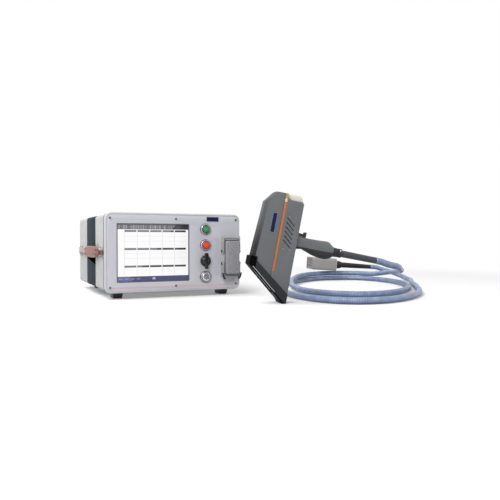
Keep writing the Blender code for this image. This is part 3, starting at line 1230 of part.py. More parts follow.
def make_plug():
    """Boot, gland, hood and pin insert of the plug, lying on the coil."""
    make_boot("plug_boot", PLUG, (PLUG_BOOT_L, 0.0, 0.0), PLUG_BOOT_L, PLUG_BOOT_D, BOOT_TIP_D, BLACK,
              (0.0, -math.pi / 2, 0.0))
    at = PLUG_BOOT_L + GAP
    r = GLAND_D / 2
    profile = [(0.0, GLAND_L), *((r * wide, GLAND_L * high) for wide, high in GLAND_SHAPE), (0.0, 0.0)]
    spin(piece("plug_gland", turned("plug_gland", profile), BLACK, PLUG, (at, 0.0, 0.0), BACK), GLAND_STEPS)
    at += GLAND_L + GAP
    start = at + HOOD_NECK_L
    end = start + HOOD_L
    bm = box_bm((HOOD_L, HOOD_W, HOOD_H), ((start + end) / 2, 0.0, 0.0), HOOD_ROUND, 0)
    soften(bm, 0, start, HOOD_EDGE)
    hood = piece("plug_hood", to_mesh(bm, "plug_hood"), HOOD_GREY, PLUG)
    neck = rods("hood_neck", HOOD_NECK_D, HOOD_NECK_L * 2, [(at + HOOD_NECK_L, 0.0, 0.0)], 'X', TURN_STEPS)
    add(hood, "hood_neck", neck)
    inner = (HOOD_W - 2 * HOOD_WALL, HOOD_H - 2 * HOOD_WALL)
    cut(hood, "hood_pocket", span("hood_pocket", (end - HOOD_POCKET, -inner[0] / 2, -inner[1] / 2),
                                  (end + HOOD_POCKET, inner[0] / 2, inner[1] / 2), POCKET_ROUND, 0))
    face = end - PLUG_FACE_IN
    low = (end - HOOD_POCKET + GAP, -inner[0] / 2 + GAP, -inner[1] / 2 + GAP)
    high = (face, inner[0] / 2 - GAP, inner[1] / 2 - GAP)
    insert = piece("plug_insert", span("plug_insert", low, high, POCKET_ROUND - GAP, 0), DIECAST, PLUG)
    across, up = inner[0] / (PLUG_PINS + 1), inner[1] / (PLUG_ROWS + 1)
    holes = [(face, (i + 1) * across - inner[0] / 2, (j + 1) * up - inner[1] / 2)
             for i in range(PLUG_PINS) for j in range(PLUG_ROWS)]
    cut(insert, "pin_holes", rods("pin_holes", PLUG_PIN_D, 2 * PLUG_PIN_DEEP, holes, 'X', 8))


make_case()
make_feet()
make_screen()
make_buttons()
make_connector()
make_strap()
make_inside()
make_fan()
make_inlet()
make_probe_body()
make_skirt()
make_cap()
boot_start = make_handle()
make_boot("hose_boot", PROBE, (boot_start, 0.0, HANDLE_AXIS), BOOT_L, BOOT_D, BOOT_TIP_D, CHARCOAL, BACK)
make_hose(boot_start + BOOT_L)
make_plug()
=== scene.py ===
"""Looks of a bench control unit with a hand-held probe on a blue hose: camera, light, finishes and fine pieces.

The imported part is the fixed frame. Each of its pieces is shown as a copy with merged facets and rounded edges,
in a material made of nodes, and the small things that the solids leave out are modelled on them.
"""

import json
from math import cos, hypot, pi, radians, sin

import bpy
import numpy as np
from mathutils import Matrix, Vector

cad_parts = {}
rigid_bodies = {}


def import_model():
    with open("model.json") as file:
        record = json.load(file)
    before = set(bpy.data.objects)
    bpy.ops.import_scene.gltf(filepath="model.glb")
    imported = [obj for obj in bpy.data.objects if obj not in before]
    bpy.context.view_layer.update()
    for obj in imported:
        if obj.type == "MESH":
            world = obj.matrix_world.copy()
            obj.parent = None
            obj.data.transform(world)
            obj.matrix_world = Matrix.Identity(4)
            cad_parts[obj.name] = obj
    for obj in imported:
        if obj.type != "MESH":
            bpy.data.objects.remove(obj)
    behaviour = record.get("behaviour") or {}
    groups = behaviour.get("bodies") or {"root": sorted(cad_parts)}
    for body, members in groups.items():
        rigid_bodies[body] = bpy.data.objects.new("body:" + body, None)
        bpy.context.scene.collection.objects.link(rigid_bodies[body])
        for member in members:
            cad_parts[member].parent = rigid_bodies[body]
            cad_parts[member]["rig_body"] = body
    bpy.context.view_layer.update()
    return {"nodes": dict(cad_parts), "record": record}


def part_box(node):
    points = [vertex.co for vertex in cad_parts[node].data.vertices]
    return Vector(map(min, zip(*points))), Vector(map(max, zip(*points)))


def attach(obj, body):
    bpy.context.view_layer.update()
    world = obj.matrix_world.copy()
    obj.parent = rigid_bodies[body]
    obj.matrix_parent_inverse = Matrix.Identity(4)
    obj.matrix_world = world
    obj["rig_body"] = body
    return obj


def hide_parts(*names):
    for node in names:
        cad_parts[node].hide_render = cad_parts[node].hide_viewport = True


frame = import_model()


def standing(place, turn):
    """The frame of a thing that leans and is turned."""
    return Matrix.Translation(place) @ Matrix.Rotation(turn[2], 4, 'Z') @ Matrix.Rotation(turn[1], 4, 'Y')


# Places of the set, in metres, as the part's source has them
UNIT_PLACE = Vector((-0.065, -0.079, 0.0))
PROBE_PLACE = Vector((0.1186, -0.2987, 0.0))
PROBE_TURN = (0.0, radians(11), radians(-15))
PLUG_PLACE = Vector((0.760, 0.216, 0.0467))
PLUG_TURN = (0.0, -radians(4), radians(162))
UNIT = Matrix.Translation(UNIT_PLACE)
PROBE = standing(PROBE_PLACE, PROBE_TURN)
PLUG = standing(PLUG_PLACE, PLUG_TURN)
SET = "set"  # the body that everything fixed rides on

# Photograph's camera
CAMERA_PLACE = (-0.4875, -1.4101, 0.1418)
CAMERA_YAW = radians(25.24)
CAMERA_DIP = radians(0.98)
CAMERA_LENS = 39.84
CAMERA_SENSOR = 36.0
CAMERA_REACH = 60.0

# Light and floor
WHITE = (1.0, 1.0, 1.0, 1.0)
ROOM_LIGHT = 0.42
LAMPS = (  # name, place, aim, size and power
    ("key", (-2.1, -2.0, 2.3), (0.1, 0.0, 0.1), 1.8, 82.0),
    ("fill", (2.4, -2.2, 1.8), (0.3, 0.0, 0.1), 2.4, 15.0),
    ("over", (-1.0, 0.5, 2.6), (0.1, 0.0, 0.0), 1.5, 42.0),
)
FLOOR_SIZE = 16.0
FLOOR_MIDDLE = (0.15, 0.0, 0.0)
FLOOR_FADE = (0.75, 1.7)  # the floor turns white over this distance
FLOOR_GLOW = 0.20

# Control unit, from the middle of its front edge on the floor
FOOT_H = 0.015
UNIT_W = 0.350
UNIT_H = 0.195
PANEL_FACE = 0.0008
CASE_SIDE = -0.1714
SCREW_INSET = (0.012, 0.014)
BADGE_CENTRE = (0.0987, 0.1963)
BADGE_SIZE = (0.0335, 0.0125)
BADGE_T = 0.0008
STRIPE = (0.0256, 0.0284)  # printed line along the panel's bottom, from the floor
STRIPE_END = 0.004  # it ends this far inside the screws
JOINT_SHADE = 0.0120  # dark joint on the bezel's sides, painted as the shade in the gap behind the bezel, from here back
JOINT_SHADE_FADE = 0.0006
FLUTE_PITCH = 0.0242

# Screen, in shares of its width and height
TABLE = (0.087, 0.972)
TABLE_COLUMN = 0.177
TABLE_H = (0.10, 0.87)
RULES = (0.195, 0.40, 0.49, 0.70, 0.79)
RULE_H = 0.006
HEADS = (0.242, 0.550, 0.867)
HEAD_H = 0.036
TOOL_BAR = 0.914
TOOL_W = 0.0335
STATUS_BAR = 0.086
STATUS_SPOT = (0.5, 0.045, 0.02)  # middle and half size

# Strap
GRIP_H = 0.030
GRIP_END_H = 0.018
GRIP_TAPER_L = 0.030
# A black sheet on the sleeve under the strap stands in for the strap's shade there
SHADE_SHEET = (0.1485, 0.2820, 0.0795, 0.0955, 0.128)  # front, rear, low ends at both, top
SHADE_SHEET_T = 0.0011
SHADE_SHEET_OUT = 0.0006  # of its middle from the case's side
SHADE_SHEET_HEM = 0.0035
SHADE_SHEET_GROOVE = (0.0006, 0.0004)
STRAP_TAIL = (0.0225, 0.0030, 0.0105)  # front tail: its end, thickness and height
TAIL_UNDER = 0.003  # the tail reaches under the strap's end
TAIL_BEND = 0.0075  # it bends this far ahead of the bracket's middle
TAIL_BEND_L = 0.004
TAIL_SINK = (0.0022, 0.0019)  # from the bracket's inner side on the case, and from its outer side over the loop
STITCH = (0.0005, 0.0042)  # radius and length
STITCH_COUNT = 26
STITCH_IN = (0.006, 0.0034)  # from the grip's ends and edges
STITCH_TILT = radians(84)

# Black sleeves on the lower lever, standing in for the shade under its ends, and the buttons' dark rubber rings,
# which also stand in for shade
SHADE_PAD_CENTRE = (0.0090, 0.0163)  # middle of the sleeves' arc, in from the lever's corners
SHADE_PAD_ARC = (0.0105, 0.0165)  # half width and half height of that arc
SHADE_PAD_SWEEP = radians(70)
SHADE_PAD_R = 0.0019
SHADE_SEAL_OUT = 0.0012  # the rings show by this much
SHADE_SEAL_H = 0.0009

# Heads of screws and studs: radius and height, then their places
PANEL_HEAD = (0.0027, 0.0026)
REAR_HEAD = (0.0028, 0.0019)
STRAP_HEAD = (0.0025, 0.0018)
PROBE_HEAD = (0.0017, 0.0009)
NUT_HEAD = (0.0021, 0.0022)
RIVET_HEAD = (0.0028, 0.0013)
BOLT_HEAD = (0.0036, 0.0016)
HEAD_LIFT = 0.0002  # of the panel's screws and the levers' bolts
REAR_SCREW_IN = 0.012
GUARD_SCREW_IN = 0.0024
BRACKET_SCREW_IN = 0.0065
BRACKET_FLANGE = 0.002  # the flange's thickness, and how far its middle lies behind the bracket's
RIVET_IN = 0.009
RIVET_HALF = 0.0062
PROBE_SCREWS = ((-0.0265, 0.1935), (-0.0118, 0.1940), (-0.0275, 0.1200), (-0.0122, 0.1197))
PROBE_SCREW_SINK = 0.0004
NUT_SCREW = (0.1102, -0.0098, 0.1412)
FAR_OUT = 0.05  # where a ray towards the grip starts

# Probe, in its own frame: X back along the handle, Z up the body
PROBE_HALF = 0.024
NOSE_TOP = (-0.067, 0.2440)
NOSE_BREAK = (-0.086, 0.2194)
NOSE_FOOT = (-0.094, 0.0916)
NOSE_SHADE_W = 0.0074  # width of the painted shade along the edge round the nose
NOSE_SHADE_FALL = (0.10, 0.19)  # that painted shade deepens to black from the second height down to the first
SKIRT_LOW = ((-0.0975, 0.0726), (-0.0140, 0.0055))  # the skirt's sloping underside, front to rear
SKIRT_LIP = 0.0027  # black lip along that edge
SKIRT_HIGHLIGHT = 0.0010  # painted highlight: a bright line above the lip
SKIRT_HIGHLIGHT_RUN = (-0.0890, -0.0300)
SKIRT_COLLAR = -0.0828  # the collar round the nose ends here
STRIPE_RUN = (0.067, 0.2245, 0.2318)  # grey up to the first height, orange, cream, and brass past the third
PROBE_BADGE = (-0.0602, 0.174)
PROBE_BADGE_SIZE = (0.0107, 0.045)
VENT_AREA = (-0.036, -0.007, 0.118, 0.196)  # X and Z of the vents
VENT_DEPTH = 0.0042  # the filters' middle lies this far inside the shell
FILTER_T = 0.0012
FILTER_FRAME = (0.0012, 0.0003)  # width and height
HANDLE_AXIS = 0.1358
BOOT_END = 0.2040
COLLAR_PITCH = 0.0038
HOOD_CREAM = 0.0080  # cream end of the plug's hood
HOLE_SHADE_DEPTH = (0.0012, 0.0005)  # the painted shade inside the plug's holes deepens over this depth

# Hose: the route's own points and formula
HOSE_D = 0.016
HOSE_SIDES = 18
HOSE_STEP = 0.0035
HOSE_RING = 0.0034
COIL_CENTRE = (0.518, 0.0165)
COIL_TURN = radians(-35.5)
COIL_HALF_W = 0.162
COIL_HALF_L = 0.272
COIL_GROW_W = 0.020
COIL_GROW_L = 0.076
COIL_FROM = 60
COIL_TO = 720
LOOP_POINTS = 24
FLOOR_LIFT = 0.0003
LAYER = 0.0169
CLIMB = (150, 225)
LEAD_IN = (
    (0.3703, -0.3613, 0.0850), (0.3996, -0.3530, 0.0802), (0.4220, -0.3363, 0.0760),
    (0.4583, -0.2972, 0.0691), (0.5151, -0.2355, 0.0628), (0.5756, -0.1646, 0.0564),
    (0.6377, -0.0833, 0.0491), (0.6912, 0.0021, 0.0417), (0.7241, 0.0860, 0.0340),
)
LEAD_OUT = (
    (0.6510, -0.1430, 0.0083), (0.7050, -0.0680, 0.0083), (0.7570, -0.0030, 0.0083),
    (0.8016, 0.0515, 0.0086), (0.8288, 0.1050, 0.0108), (0.8367, 0.1456, 0.0178),
    (0.8219, 0.1842, 0.0300), (0.7995, 0.2040, 0.0388),
)
STRAIGHT_OUT = 0.0075
STRAIGHT_IN = 0.018
GAP = 0.0003

# Modelling
MERGE = 0.00001
FLAT_ANGLE = radians(1.0)
BEVEL_ANGLE = radians(34)
SMOOTH_ANGLE = radians(38)
FACE_FRONT = Matrix.Rotation(pi / 2, 4, 'X')  # up turned to -Y
FACE_REAR = Matrix.Rotation(-pi / 2, 4, 'X')  # up turned to +Y
FACE_LEFT = Matrix.Rotation(-pi / 2, 4, 'Y')  # up turned to -X
FACE_RIGHT = Matrix.Rotation(pi / 2, 4, 'Y')  # up turned to +X
TURNED = Matrix.Rotation(pi, 4, 'Z')


# Shader maths

class Wire:
    """An output socket. Arithmetic on it adds Math nodes."""

    def __init__(self, nodes, socket):
        self.nodes = nodes
        self.socket = socket

    def maths(self, operation, *inputs):
        return self.nodes.node("ShaderNodeMath", {"operation": operation}, dict(enumerate(inputs)))

    def __add__(self, other):
        return self.maths("ADD", self, other)

    def __sub__(self, other):
        return self.maths("SUBTRACT", self, other)

    def __rsub__(self, other):
        return self.maths("SUBTRACT", other, self)

    def __mul__(self, other):
        return self.maths("MULTIPLY", self, other)

    def __truediv__(self, other):
        return self.maths("DIVIDE", self, other)

    def __mod__(self, other):
        return self.maths("FLOORED_MODULO", self, other)

    def __lt__(self, other):
        return self.maths("LESS_THAN", self, other)

    def __gt__(self, other):
        return self.maths("GREATER_THAN", self, other)

    def __and__(self, other):
        return self.maths("MINIMUM", self, other)

    def __or__(self, other):
        return self.maths("MAXIMUM", self, other)

    def __abs__(self):
        return self.maths("ABSOLUTE", self)

    __radd__ = __add__
    __rmul__ = __mul__

    def root(self):
        return self.maths("SQRT", self)

    def sine(self):
        return self.maths("SINE", self)

    def wave(self, pitch):
        """A sine that repeats at a pitch."""
        return (self * (2 * pi / pitch)).sine()

    def within(self, low, high):
        """1 between two limits, 0 outside them."""
        return (self > low) & (self < high)

    def rise(self, low, high):
        """0 below the first limit, 1 above the second, smooth between them."""
        return self.nodes.node("ShaderNodeMapRange", {"interpolation_type": 'SMOOTHSTEP'},
                               {"Value": self, "From Min": low, "From Max": high})


class Nodes:
    """A tree of nodes, with the one way to add to it."""

    def __init__(self, tree):
        self.tree = tree

    def node(self, kind, settings=None, inputs=None, output=0):
        """Adds a node: its settings first, then the values or wires of its sockets."""
        made = self.tree.nodes.new(kind)
        for name, value in (settings or {}).items():
            setattr(made, name, value)
        for key, value in (inputs or {}).items():
            self.join(made.inputs[key], value)
        return Wire(self, made.outputs[output])

    def join(self, socket, value):
        """Links a wire to a socket, or sets a value or a display colour on it."""
        if isinstance(value, Wire):
            self.tree.links.new(value.socket, socket)
        else:
            socket.default_value = tone(value) if isinstance(value, str) else value

    def white_to_eye(self):
        """1 for rays from the camera, gloss and glass, which see a white surround."""
        path = self.node("ShaderNodeLightPath").socket.node.outputs
        eye, gloss, glass = (Wire(self, path[f"Is {ray} Ray"]) for ray in ("Camera", "Glossy", "Transmission"))
        return eye | gloss | glass

    def mix_shaders(self, share, first, second):
        return self.node("ShaderNodeMixShader", None, {0: share, 1: first, 2: second})


class Finish(Nodes):
    """A material: its Principled shader, and the nodes that feed it."""

    def __init__(self, name, settings=None):
        self.material = bpy.data.materials.new(name)
        self.material.use_nodes = True
        super().__init__(self.material.node_tree)
        self.shader = self.tree.nodes["Principled BSDF"]
        for socket, value in (settings or {}).items():
            self.feed(socket, value)

    def feed(self, socket, value):
        self.join(self.shader.inputs[socket], value)

    def dress(self, colour, roughness, height, depth):
        """Feeds colour and roughness, and a bump of a height pattern at its depth."""
        self.feed("Base Color", colour)
        self.feed("Roughness", roughness)
        self.feed("Normal", self.node("ShaderNodeBump", None, {"Distance": depth, "Height": height}))
        return self

    def place(self, stretch=(1.0, 1.0, 1.0)):
        """Object coordinates, stretched for patterns that run one way."""
        spot = self.node("ShaderNodeTexCoord", output="Object")
        return self.node("ShaderNodeMapping", None, {"Vector": spot, "Scale": stretch})

    def local(self, place, turn):
        """Object coordinates in the frame of a thing that stands turned."""
        spot = self.node("ShaderNodeTexCoord", output="Object")
        return self.node("ShaderNodeMapping", {"vector_type": 'TEXTURE'},
                         {"Vector": spot, "Location": place, "Rotation": turn})

    def axes(self, spot):
        first = self.node("ShaderNodeSeparateXYZ", None, {0: spot})
        return [Wire(self, output) for output in first.socket.node.outputs]

    def noise(self, scale, detail, roughness=0.55, stretch=(1.0, 1.0, 1.0)):
        return self.node("ShaderNodeTexNoise", None, {"Vector": self.place(stretch), "Scale": scale,
                                                      "Detail": detail, "Roughness": roughness})

    def drift_and_grain(self, slow, fine):
        """A slow drift and a fine grain."""
        return self.noise(slow, 4.0), self.noise(fine, 2.0)

    def cells(self, scale):
        return self.node("ShaderNodeTexVoronoi", None, {"Vector": self.place(), "Scale": scale})

    def blend(self, share, first, second):
        """Mixes two colours."""
        return self.node("ShaderNodeMix", {"data_type": 'RGBA'}, {0: share, 6: first, 7: second}, 2)

    def edges(self, radius):
        """1 on sharp outer and inner edges, 0 on flats."""
        soft = self.node("ShaderNodeBevel", {"samples": 4}, {"Radius": radius})
        flat = self.node("ShaderNodeNewGeometry", output="Normal")
        along = self.node("ShaderNodeVectorMath", {"operation": 'DOT_PRODUCT'}, {0: soft, 1: flat}, "Value")
        return ((1 - along) * 9.0) & 1.0

    def worn(self, amount):
        """Patches along the edges where the surface is rubbed."""
        return self.edges(0.0009) * self.noise(90.0, 4.0).rise(0.42, 0.68) * amount


def tone(code, gain=1.0):
    """A display colour, such as c9c8d2, as linear light."""
    parts = [int(code[i:i + 2], 16) / 255 for i in (0, 2, 4)]
    return tuple(gain * (p / 12.92 if p <= 0.04045 else ((p + 0.055) / 1.055) ** 2.4) for p in parts) + (1.0,)


# Finishes of this object. A colour is a display colour, and a pattern's scale is in cells per metre

GLOSS = "Specular IOR Level"


def moulded(name, code, roughness, grain, depth, shade, worn, settings=None):
    """Plastic or paint: a tone that drifts a little, a fine grain, and paler worn edges."""
    look = Finish(name, settings)
    drift, fine = look.drift_and_grain(14.0, grain)
    body = look.blend(drift, tone(code, 1 - shade), tone(code, 1 + shade))
    return look.dress(look.blend(look.worn(worn), body, tone(code, 1.9)),
                      (drift - 0.5) * 0.12 + (fine - 0.5) * 0.10 + roughness, fine, depth)


def metal(name, code, roughness, stretch=(1.0, 1.0, 1.0), grain=900.0):
    """Bare or plated metal with a fine brushed or cast grain and slight staining."""
    look = Finish(name, {"Metallic": 1.0})
    streak = look.noise(grain, 4.0, 0.6, stretch)
    stain = look.noise(30.0, 4.0)
    return look.dress(look.blend(stain * 0.5 + streak * 0.5, tone(code, 0.82), tone(code, 1.1)),
                      (streak - 0.5) * 0.18 + (stain - 0.5) * 0.12 + roughness, streak, 0.00002)


def panel_finish():
    """Satin lilac-grey panel with a printed red line near its lower edge."""
    look = Finish("panel_satin", {"Metallic": 0.1})
    across, _, up = look.axes(look.place())
    drift = look.noise(9.0, 3.0)
    streak = look.noise(700.0, 3.0, 0.6, (1.0, 1.0, 0.06))
    body = look.blend(drift * 0.6 + streak * 0.4, "c0c0c8", "cecdd5")
    half = UNIT_W / 2 - SCREW_INSET[0] - STRIPE_END
    line = up.within(*STRIPE) & across.within(UNIT_PLACE.x - half, UNIT_PLACE.x + half)
    return look.dress(look.blend(line * 0.55, body, "d89a96"), (streak - 0.5) * 0.14 + 0.46, streak, 0.000012)


def bezel_finish():
    """Satin lilac-grey casting with painted shade along its edges, and a dark joint where it meets the case,
    painted as the shade in that gap.
    """
    look = Finish("bezel_satin", {"Metallic": 0.12})
    _, along, _ = look.axes(look.place())
    drift, fine = look.drift_and_grain(14.0, 900.0)
    body = look.blend(drift, "c0c0c7", "c9c9cf")
    # painted shade: the bezel darkens along its edges and creases
    body = look.blend(look.edges(0.0012) * 0.4, body, "85858d")
    # painted shade: the dark joint band on the bezel's sides stands for the shade in the gap behind it
    joint = along.rise(UNIT_PLACE.y + JOINT_SHADE, UNIT_PLACE.y + JOINT_SHADE + JOINT_SHADE_FADE)
    return look.dress(look.blend(joint, body, "19191c"),
                      (drift - 0.5) * 0.12 + (fine - 0.5) * 0.1 + 0.44, fine * 0.1 - joint * 3.0, 0.0001)


def frame_finish():
    """Pale powder coat, drawn along the case and a little stained."""
    look = Finish("frame_powder", {GLOSS: 0.3})
    drift, fine = look.drift_and_grain(13.0, 1300.0)
    drawn = look.noise(330.0, 3.0, 0.6, (1.0, 0.03, 1.0))
    stain = look.noise(48.0, 6.0, 0.7, (1.0, 0.5, 1.0))
    body = look.blend(drift * 0.5 + drawn * 0.5, "b6b5b7", "c8c8c9")
    body = look.blend(stain.rise(0.52, 0.74) * 0.45, body, "98938d")
    return look.dress(look.blend(look.worn(0.25), body, "e9e9ea"),
                      (fine - 0.5) * 0.14 + (stain - 0.5) * 0.2 + 0.56, fine * 0.5 + drawn * 0.5, 0.0001)


def sleeve_finish():
    """Slate paint on a sleeve drawn with shallow flutes that run round the case, with painted shade darkening the
    flutes' troughs.
    """
    look = Finish("sleeve_slate", {GLOSS: 0.03})
    _, along, _ = look.axes(look.place())
    flute = along.wave(FLUTE_PITCH).rise(-1.0, -0.2)
    drift, fine = look.drift_and_grain(11.0, 2100.0)
    # painted shade: the flutes' troughs are darkened towards near-black
    body = look.blend(flute * 0.6 + 0.4, "12191d", look.blend(drift, "28343b", "323f47"))
    return look.dress(look.blend(look.worn(0.4), body, "7b868c"),
                      (fine - 0.5) * 0.14 + (drift - 0.5) * 0.1 + 0.6, flute + fine * 0.05, 0.0005)


def screen_finish():
    """A lit screen behind glass: tool bar, a table of blank columns with dark heads, and a status bar, with a
    painted glare that pales its upper left.
    """
    low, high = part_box("screen_glass")
    look = Finish("screen_picture", {"Roughness": 0.16, "Coat Weight": 0.4, "Coat Roughness": 0.04,
                                     "Emission Strength": 0.82})
    across, _, up = look.axes(look.place())
    u = (across - low.x) / (high.x - low.x)
    v = (up - low.z) / (high.z - low.z)
    speck = look.noise(260.0, 2.0, 0.6, (1.0, 1.0, 2.2)).rise(0.4, 0.8)
    dust = look.noise(800.0, 2.0, 0.7).rise(0.4, 0.7)
    # painted glare: a reflection on the glass, painted as paler tones above and left of a slanting line
    painted_glare = 1 - (u - v * 0.64).rise(0.165, 0.19)

    inside = u.within(*TABLE)
    cell = ((u - TABLE[0]) / TABLE_COLUMN) % 1.0
    head = cell.within(0.03, 0.955) & inside
    picture = look.blend(cell.within(0.0, 0.022) & inside & v.within(*TABLE_H), "fdfdfd", "c9c9cd")
    for level in RULES:
        picture = look.blend(v.within(level, level + RULE_H) & inside & (u > 0.09), picture, "e6e6ea")
    ink = look.blend(painted_glare, look.blend(dust, "242329", "55535a"), look.blend(dust, "6e6c72", "8b898e"))
    for level in HEADS:
        picture = look.blend(v.within(level, level + HEAD_H) & head, picture, ink)

    tool = u / TOOL_W
    spot = tool % 1.0
    shade = look.node("ShaderNodeTexWhiteNoise", {"noise_dimensions": '1D'}, {"W": tool - spot})
    icon = look.blend(painted_glare, look.blend(shade, "131217", "4d4c55"), look.blend(shade, "55545a", "a6a5aa"))
    bar = look.blend(spot.within(0.14, 0.86) & v.within(0.927, 0.986), look.blend(painted_glare, "131218", "626166"), icon)
    bar = look.blend(spot.within(0.34, 0.66) & v.within(0.946, 0.967), bar, look.blend(painted_glare, "3a3941", "89888d"))
    picture = look.blend(v > TOOL_BAR, picture, bar)

    # painted glare: the status bar is paler left of a slanting line
    foot = look.blend((u + v * 0.5).rise(0.19, 0.215), look.blend(speck, "5b5c90", "6c6d9d"),
                      look.blend(speck, "2c2d65", "37386f"))
    entry = ((u / 0.082) % 1.0).within(0.18, 0.78) & v.within(0.034, 0.052) & (u < 0.32)
    foot = look.blend(entry * 0.6, foot, "9a9bc4")
    x, z, half = STATUS_SPOT
    foot = look.blend((abs(u - x) < half) & (abs(v - z) < half), foot, "a9afdc")
    picture = look.blend(v < STATUS_BAR, picture, foot)
    look.feed("Emission Color", picture)
    look.feed("Base Color", look.blend(0.86, picture, "101012"))
    return look


def cast_finish(name, dark, pale, speckle, depth):
    """Grey die-cast metal under a speckled lacquer."""
    look = Finish(name, {"Metallic": 0.2})
    speck = look.noise(speckle, 3.0, 0.7)
    body = look.blend(speck.rise(0.35, 0.7), dark, pale)
    body = look.blend(look.noise(25.0, 3.0) * 0.35, body, dark)
    return look.dress(look.blend(look.edges(0.0008) * 0.5, body, "c8c8ca"),
                      (speck - 0.5) * 0.2 + 0.55, speck, depth)


def from_middle(look, node):
    """Distance from the middle of a round piece on the panel."""
    low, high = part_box(node)
    middle = (low + high) / 2
    across, _, up = look.axes(look.place())
    x, z = across - middle.x, up - middle.z
    return (x * x + z * z).root()


def button_finish():
    """Turned steel with a lilac-tinted middle and a bright rim."""
    look = Finish("button_steel", {"Metallic": 1.0})
    out = from_middle(look, "steel_button")
    rings = out.wave(0.0006)
    rim = out.rise(0.0070, 0.0078)
    return look.dress(look.blend(rim, "96939f", "dddce0"), rings * 0.05 + 0.36 - rim * 0.12, rings, 0.000015)


def lens_finish(name, node, middle, rim):
    """A lens with a painted glow: its colour pales towards the middle, as if a lamp shone behind it."""
    look = Finish(name, {"Coat Weight": 0.5, "Coat Roughness": 0.12})
    ripple = look.noise(500.0, 2.0)
    # painted glow in the base colour; the lens gives out no light
    glow = 1 - (from_middle(look, node) + (ripple - 0.5) * 0.002).rise(0.0015, 0.0092)
    return look.dress(look.blend(glow, rim, middle), 0.24, ripple, 0.00001)


def seal_finish():
    """Rubber seal, black above and below the cover and greyed along its sides."""
    look = Finish("connector_rubber", {GLOSS: 0.1})
    low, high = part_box("connector_cover")
    _, _, up = look.axes(look.place())
    fine = look.noise(1500.0, 2.0)
    return look.dress(look.blend(up.within(low.z, high.z), "060607", "6c6c6f"), fine * 0.15 + 0.55, fine, 0.00006)


def leather_finish(name, code, dark, settings=None):
    """Waxed leather: a pebbled grain with darker creases."""
    look = Finish(name, settings)
    pebble = look.cells(900.0)
    fold = look.noise(70.0, 5.0, 0.6)
    return look.dress(look.blend(pebble.rise(0.25, 0.6) * 0.35, look.blend(fold, dark, code), dark),
                      (fold - 0.5) * 0.25 + 0.5, pebble * -1.0 + fold * 0.7, 0.00012)


def probe_place(look):
    """The probe's own X and Z."""
    x, _, z = look.axes(look.local(PROBE_PLACE, PROBE_TURN))
    return x, z


def from_line(x, z, start, end):
    """Distance behind or above a line that runs up or forward in the probe's side view."""
    run, rise = end[0] - start[0], end[1] - start[1]
    length = hypot(run, rise)
    return (x - start[0]) * (rise / length) - (z - start[1]) * (run / length)


def probe_side_finish():
    """Grey moulded shell, with painted shade along the edge round the nose that deepens to black downwards."""
    look = Finish("probe_shell", {GLOSS: 0.3})
    x, z = probe_place(look)
    inside = from_line(x, z, NOSE_FOOT, NOSE_BREAK) & from_line(x, z, NOSE_BREAK, NOSE_TOP)
    # painted shade along the nose's edge, blackest at the bottom
    edge = 1 - inside.rise(NOSE_SHADE_W - 0.0004, NOSE_SHADE_W)
    drift, fine = look.drift_and_grain(12.0, 1700.0)
    nose = look.blend(z.rise(*NOSE_SHADE_FALL), "141416", look.blend(drift, "3e4043", "4a4c4f"))
    body = look.blend(edge, look.blend(drift, "5f6366", "6b6f72"), nose)
    return look.dress(look.blend(look.worn(0.3) * (1 - edge * 0.7), body, "989c9f"),
                      (drift - 0.5) * 0.12 + (fine - 0.5) * 0.12 + 0.5, fine, 0.00006)


def skirt_finish():
    """Dark skirt, black at its collar and lower lip, with a painted highlight as a bright line above the lip."""
    look = Finish("probe_skirt_dark", {GLOSS: 0.03})
    x, z = probe_place(look)
    above = from_line(x, z, SKIRT_LOW[1], SKIRT_LOW[0])
    drift, fine = look.drift_and_grain(16.0, 1500.0)
    body = look.blend((above < SKIRT_LIP) | (x < SKIRT_COLLAR), look.blend(drift, "303032", "3b3b3e"),
                      look.blend(drift, "020203", "060607"))
    # painted highlight along the skirt's lower edge
    line = above.within(SKIRT_LIP, SKIRT_LIP + SKIRT_HIGHLIGHT) & x.within(*SKIRT_HIGHLIGHT_RUN)
    return look.dress(look.blend(line, body, "d2d2d4"),
                      (drift - 0.5) * 0.12 + (fine - 0.5) * 0.1 + 0.5, fine, 0.00006)


def band_finish():
    """Orange stripe, grey near the skirt, and cream and brass over the top."""
    look = Finish("probe_stripe")
    _, z = probe_place(look)
    drift, fine = look.drift_and_grain(30.0, 1700.0)
    low, mid, high = STRIPE_RUN
    body = look.blend(z.rise(low, low + 0.0005), look.blend(drift, "5f6366", "6b6f72"),
                      look.blend(drift, "ac6233", "b8703f"))
    body = look.blend(z.rise(mid, mid + 0.0008), body, look.blend(drift, "cdb9a8", "dcc9b9"))
    return look.dress(look.blend(z.rise(high, high + 0.0008), body, "b58c4a"),
                      (fine - 0.5) * 0.12 + 0.42, fine, 0.00004)


def collar_finish():
    """Black plastic turned with fine grooves along the handle, with painted shade darkening the grooves."""
    look = Finish("collar_black", {GLOSS: 0.35})
    along, _ = probe_place(look)
    groove = along.wave(COLLAR_PITCH).rise(-1.0, -0.1)
    drift = look.noise(40.0, 3.0)
    body = look.blend(drift, tone("1d1d1f", 0.85), tone("1d1d1f", 1.15))
    # painted shade in the grooves
    return look.dress(look.blend(groove * 0.6 + 0.4, "0a0a0b", body), drift * 0.15 + 0.36, groove, 0.0004)


def reach(node, turned):
    """A solid's lowest and highest corners in a turned frame."""
    back = turned.inverted()
    points = np.array([back @ vertex.co for vertex in frame["nodes"][node].data.vertices])
    return Vector(points.min(axis=0)), Vector(points.max(axis=0))


def along_plug(look):
    """The plug's own X, from its gland to its face."""
    return look.axes(look.local(PLUG_PLACE, PLUG_TURN))[0]


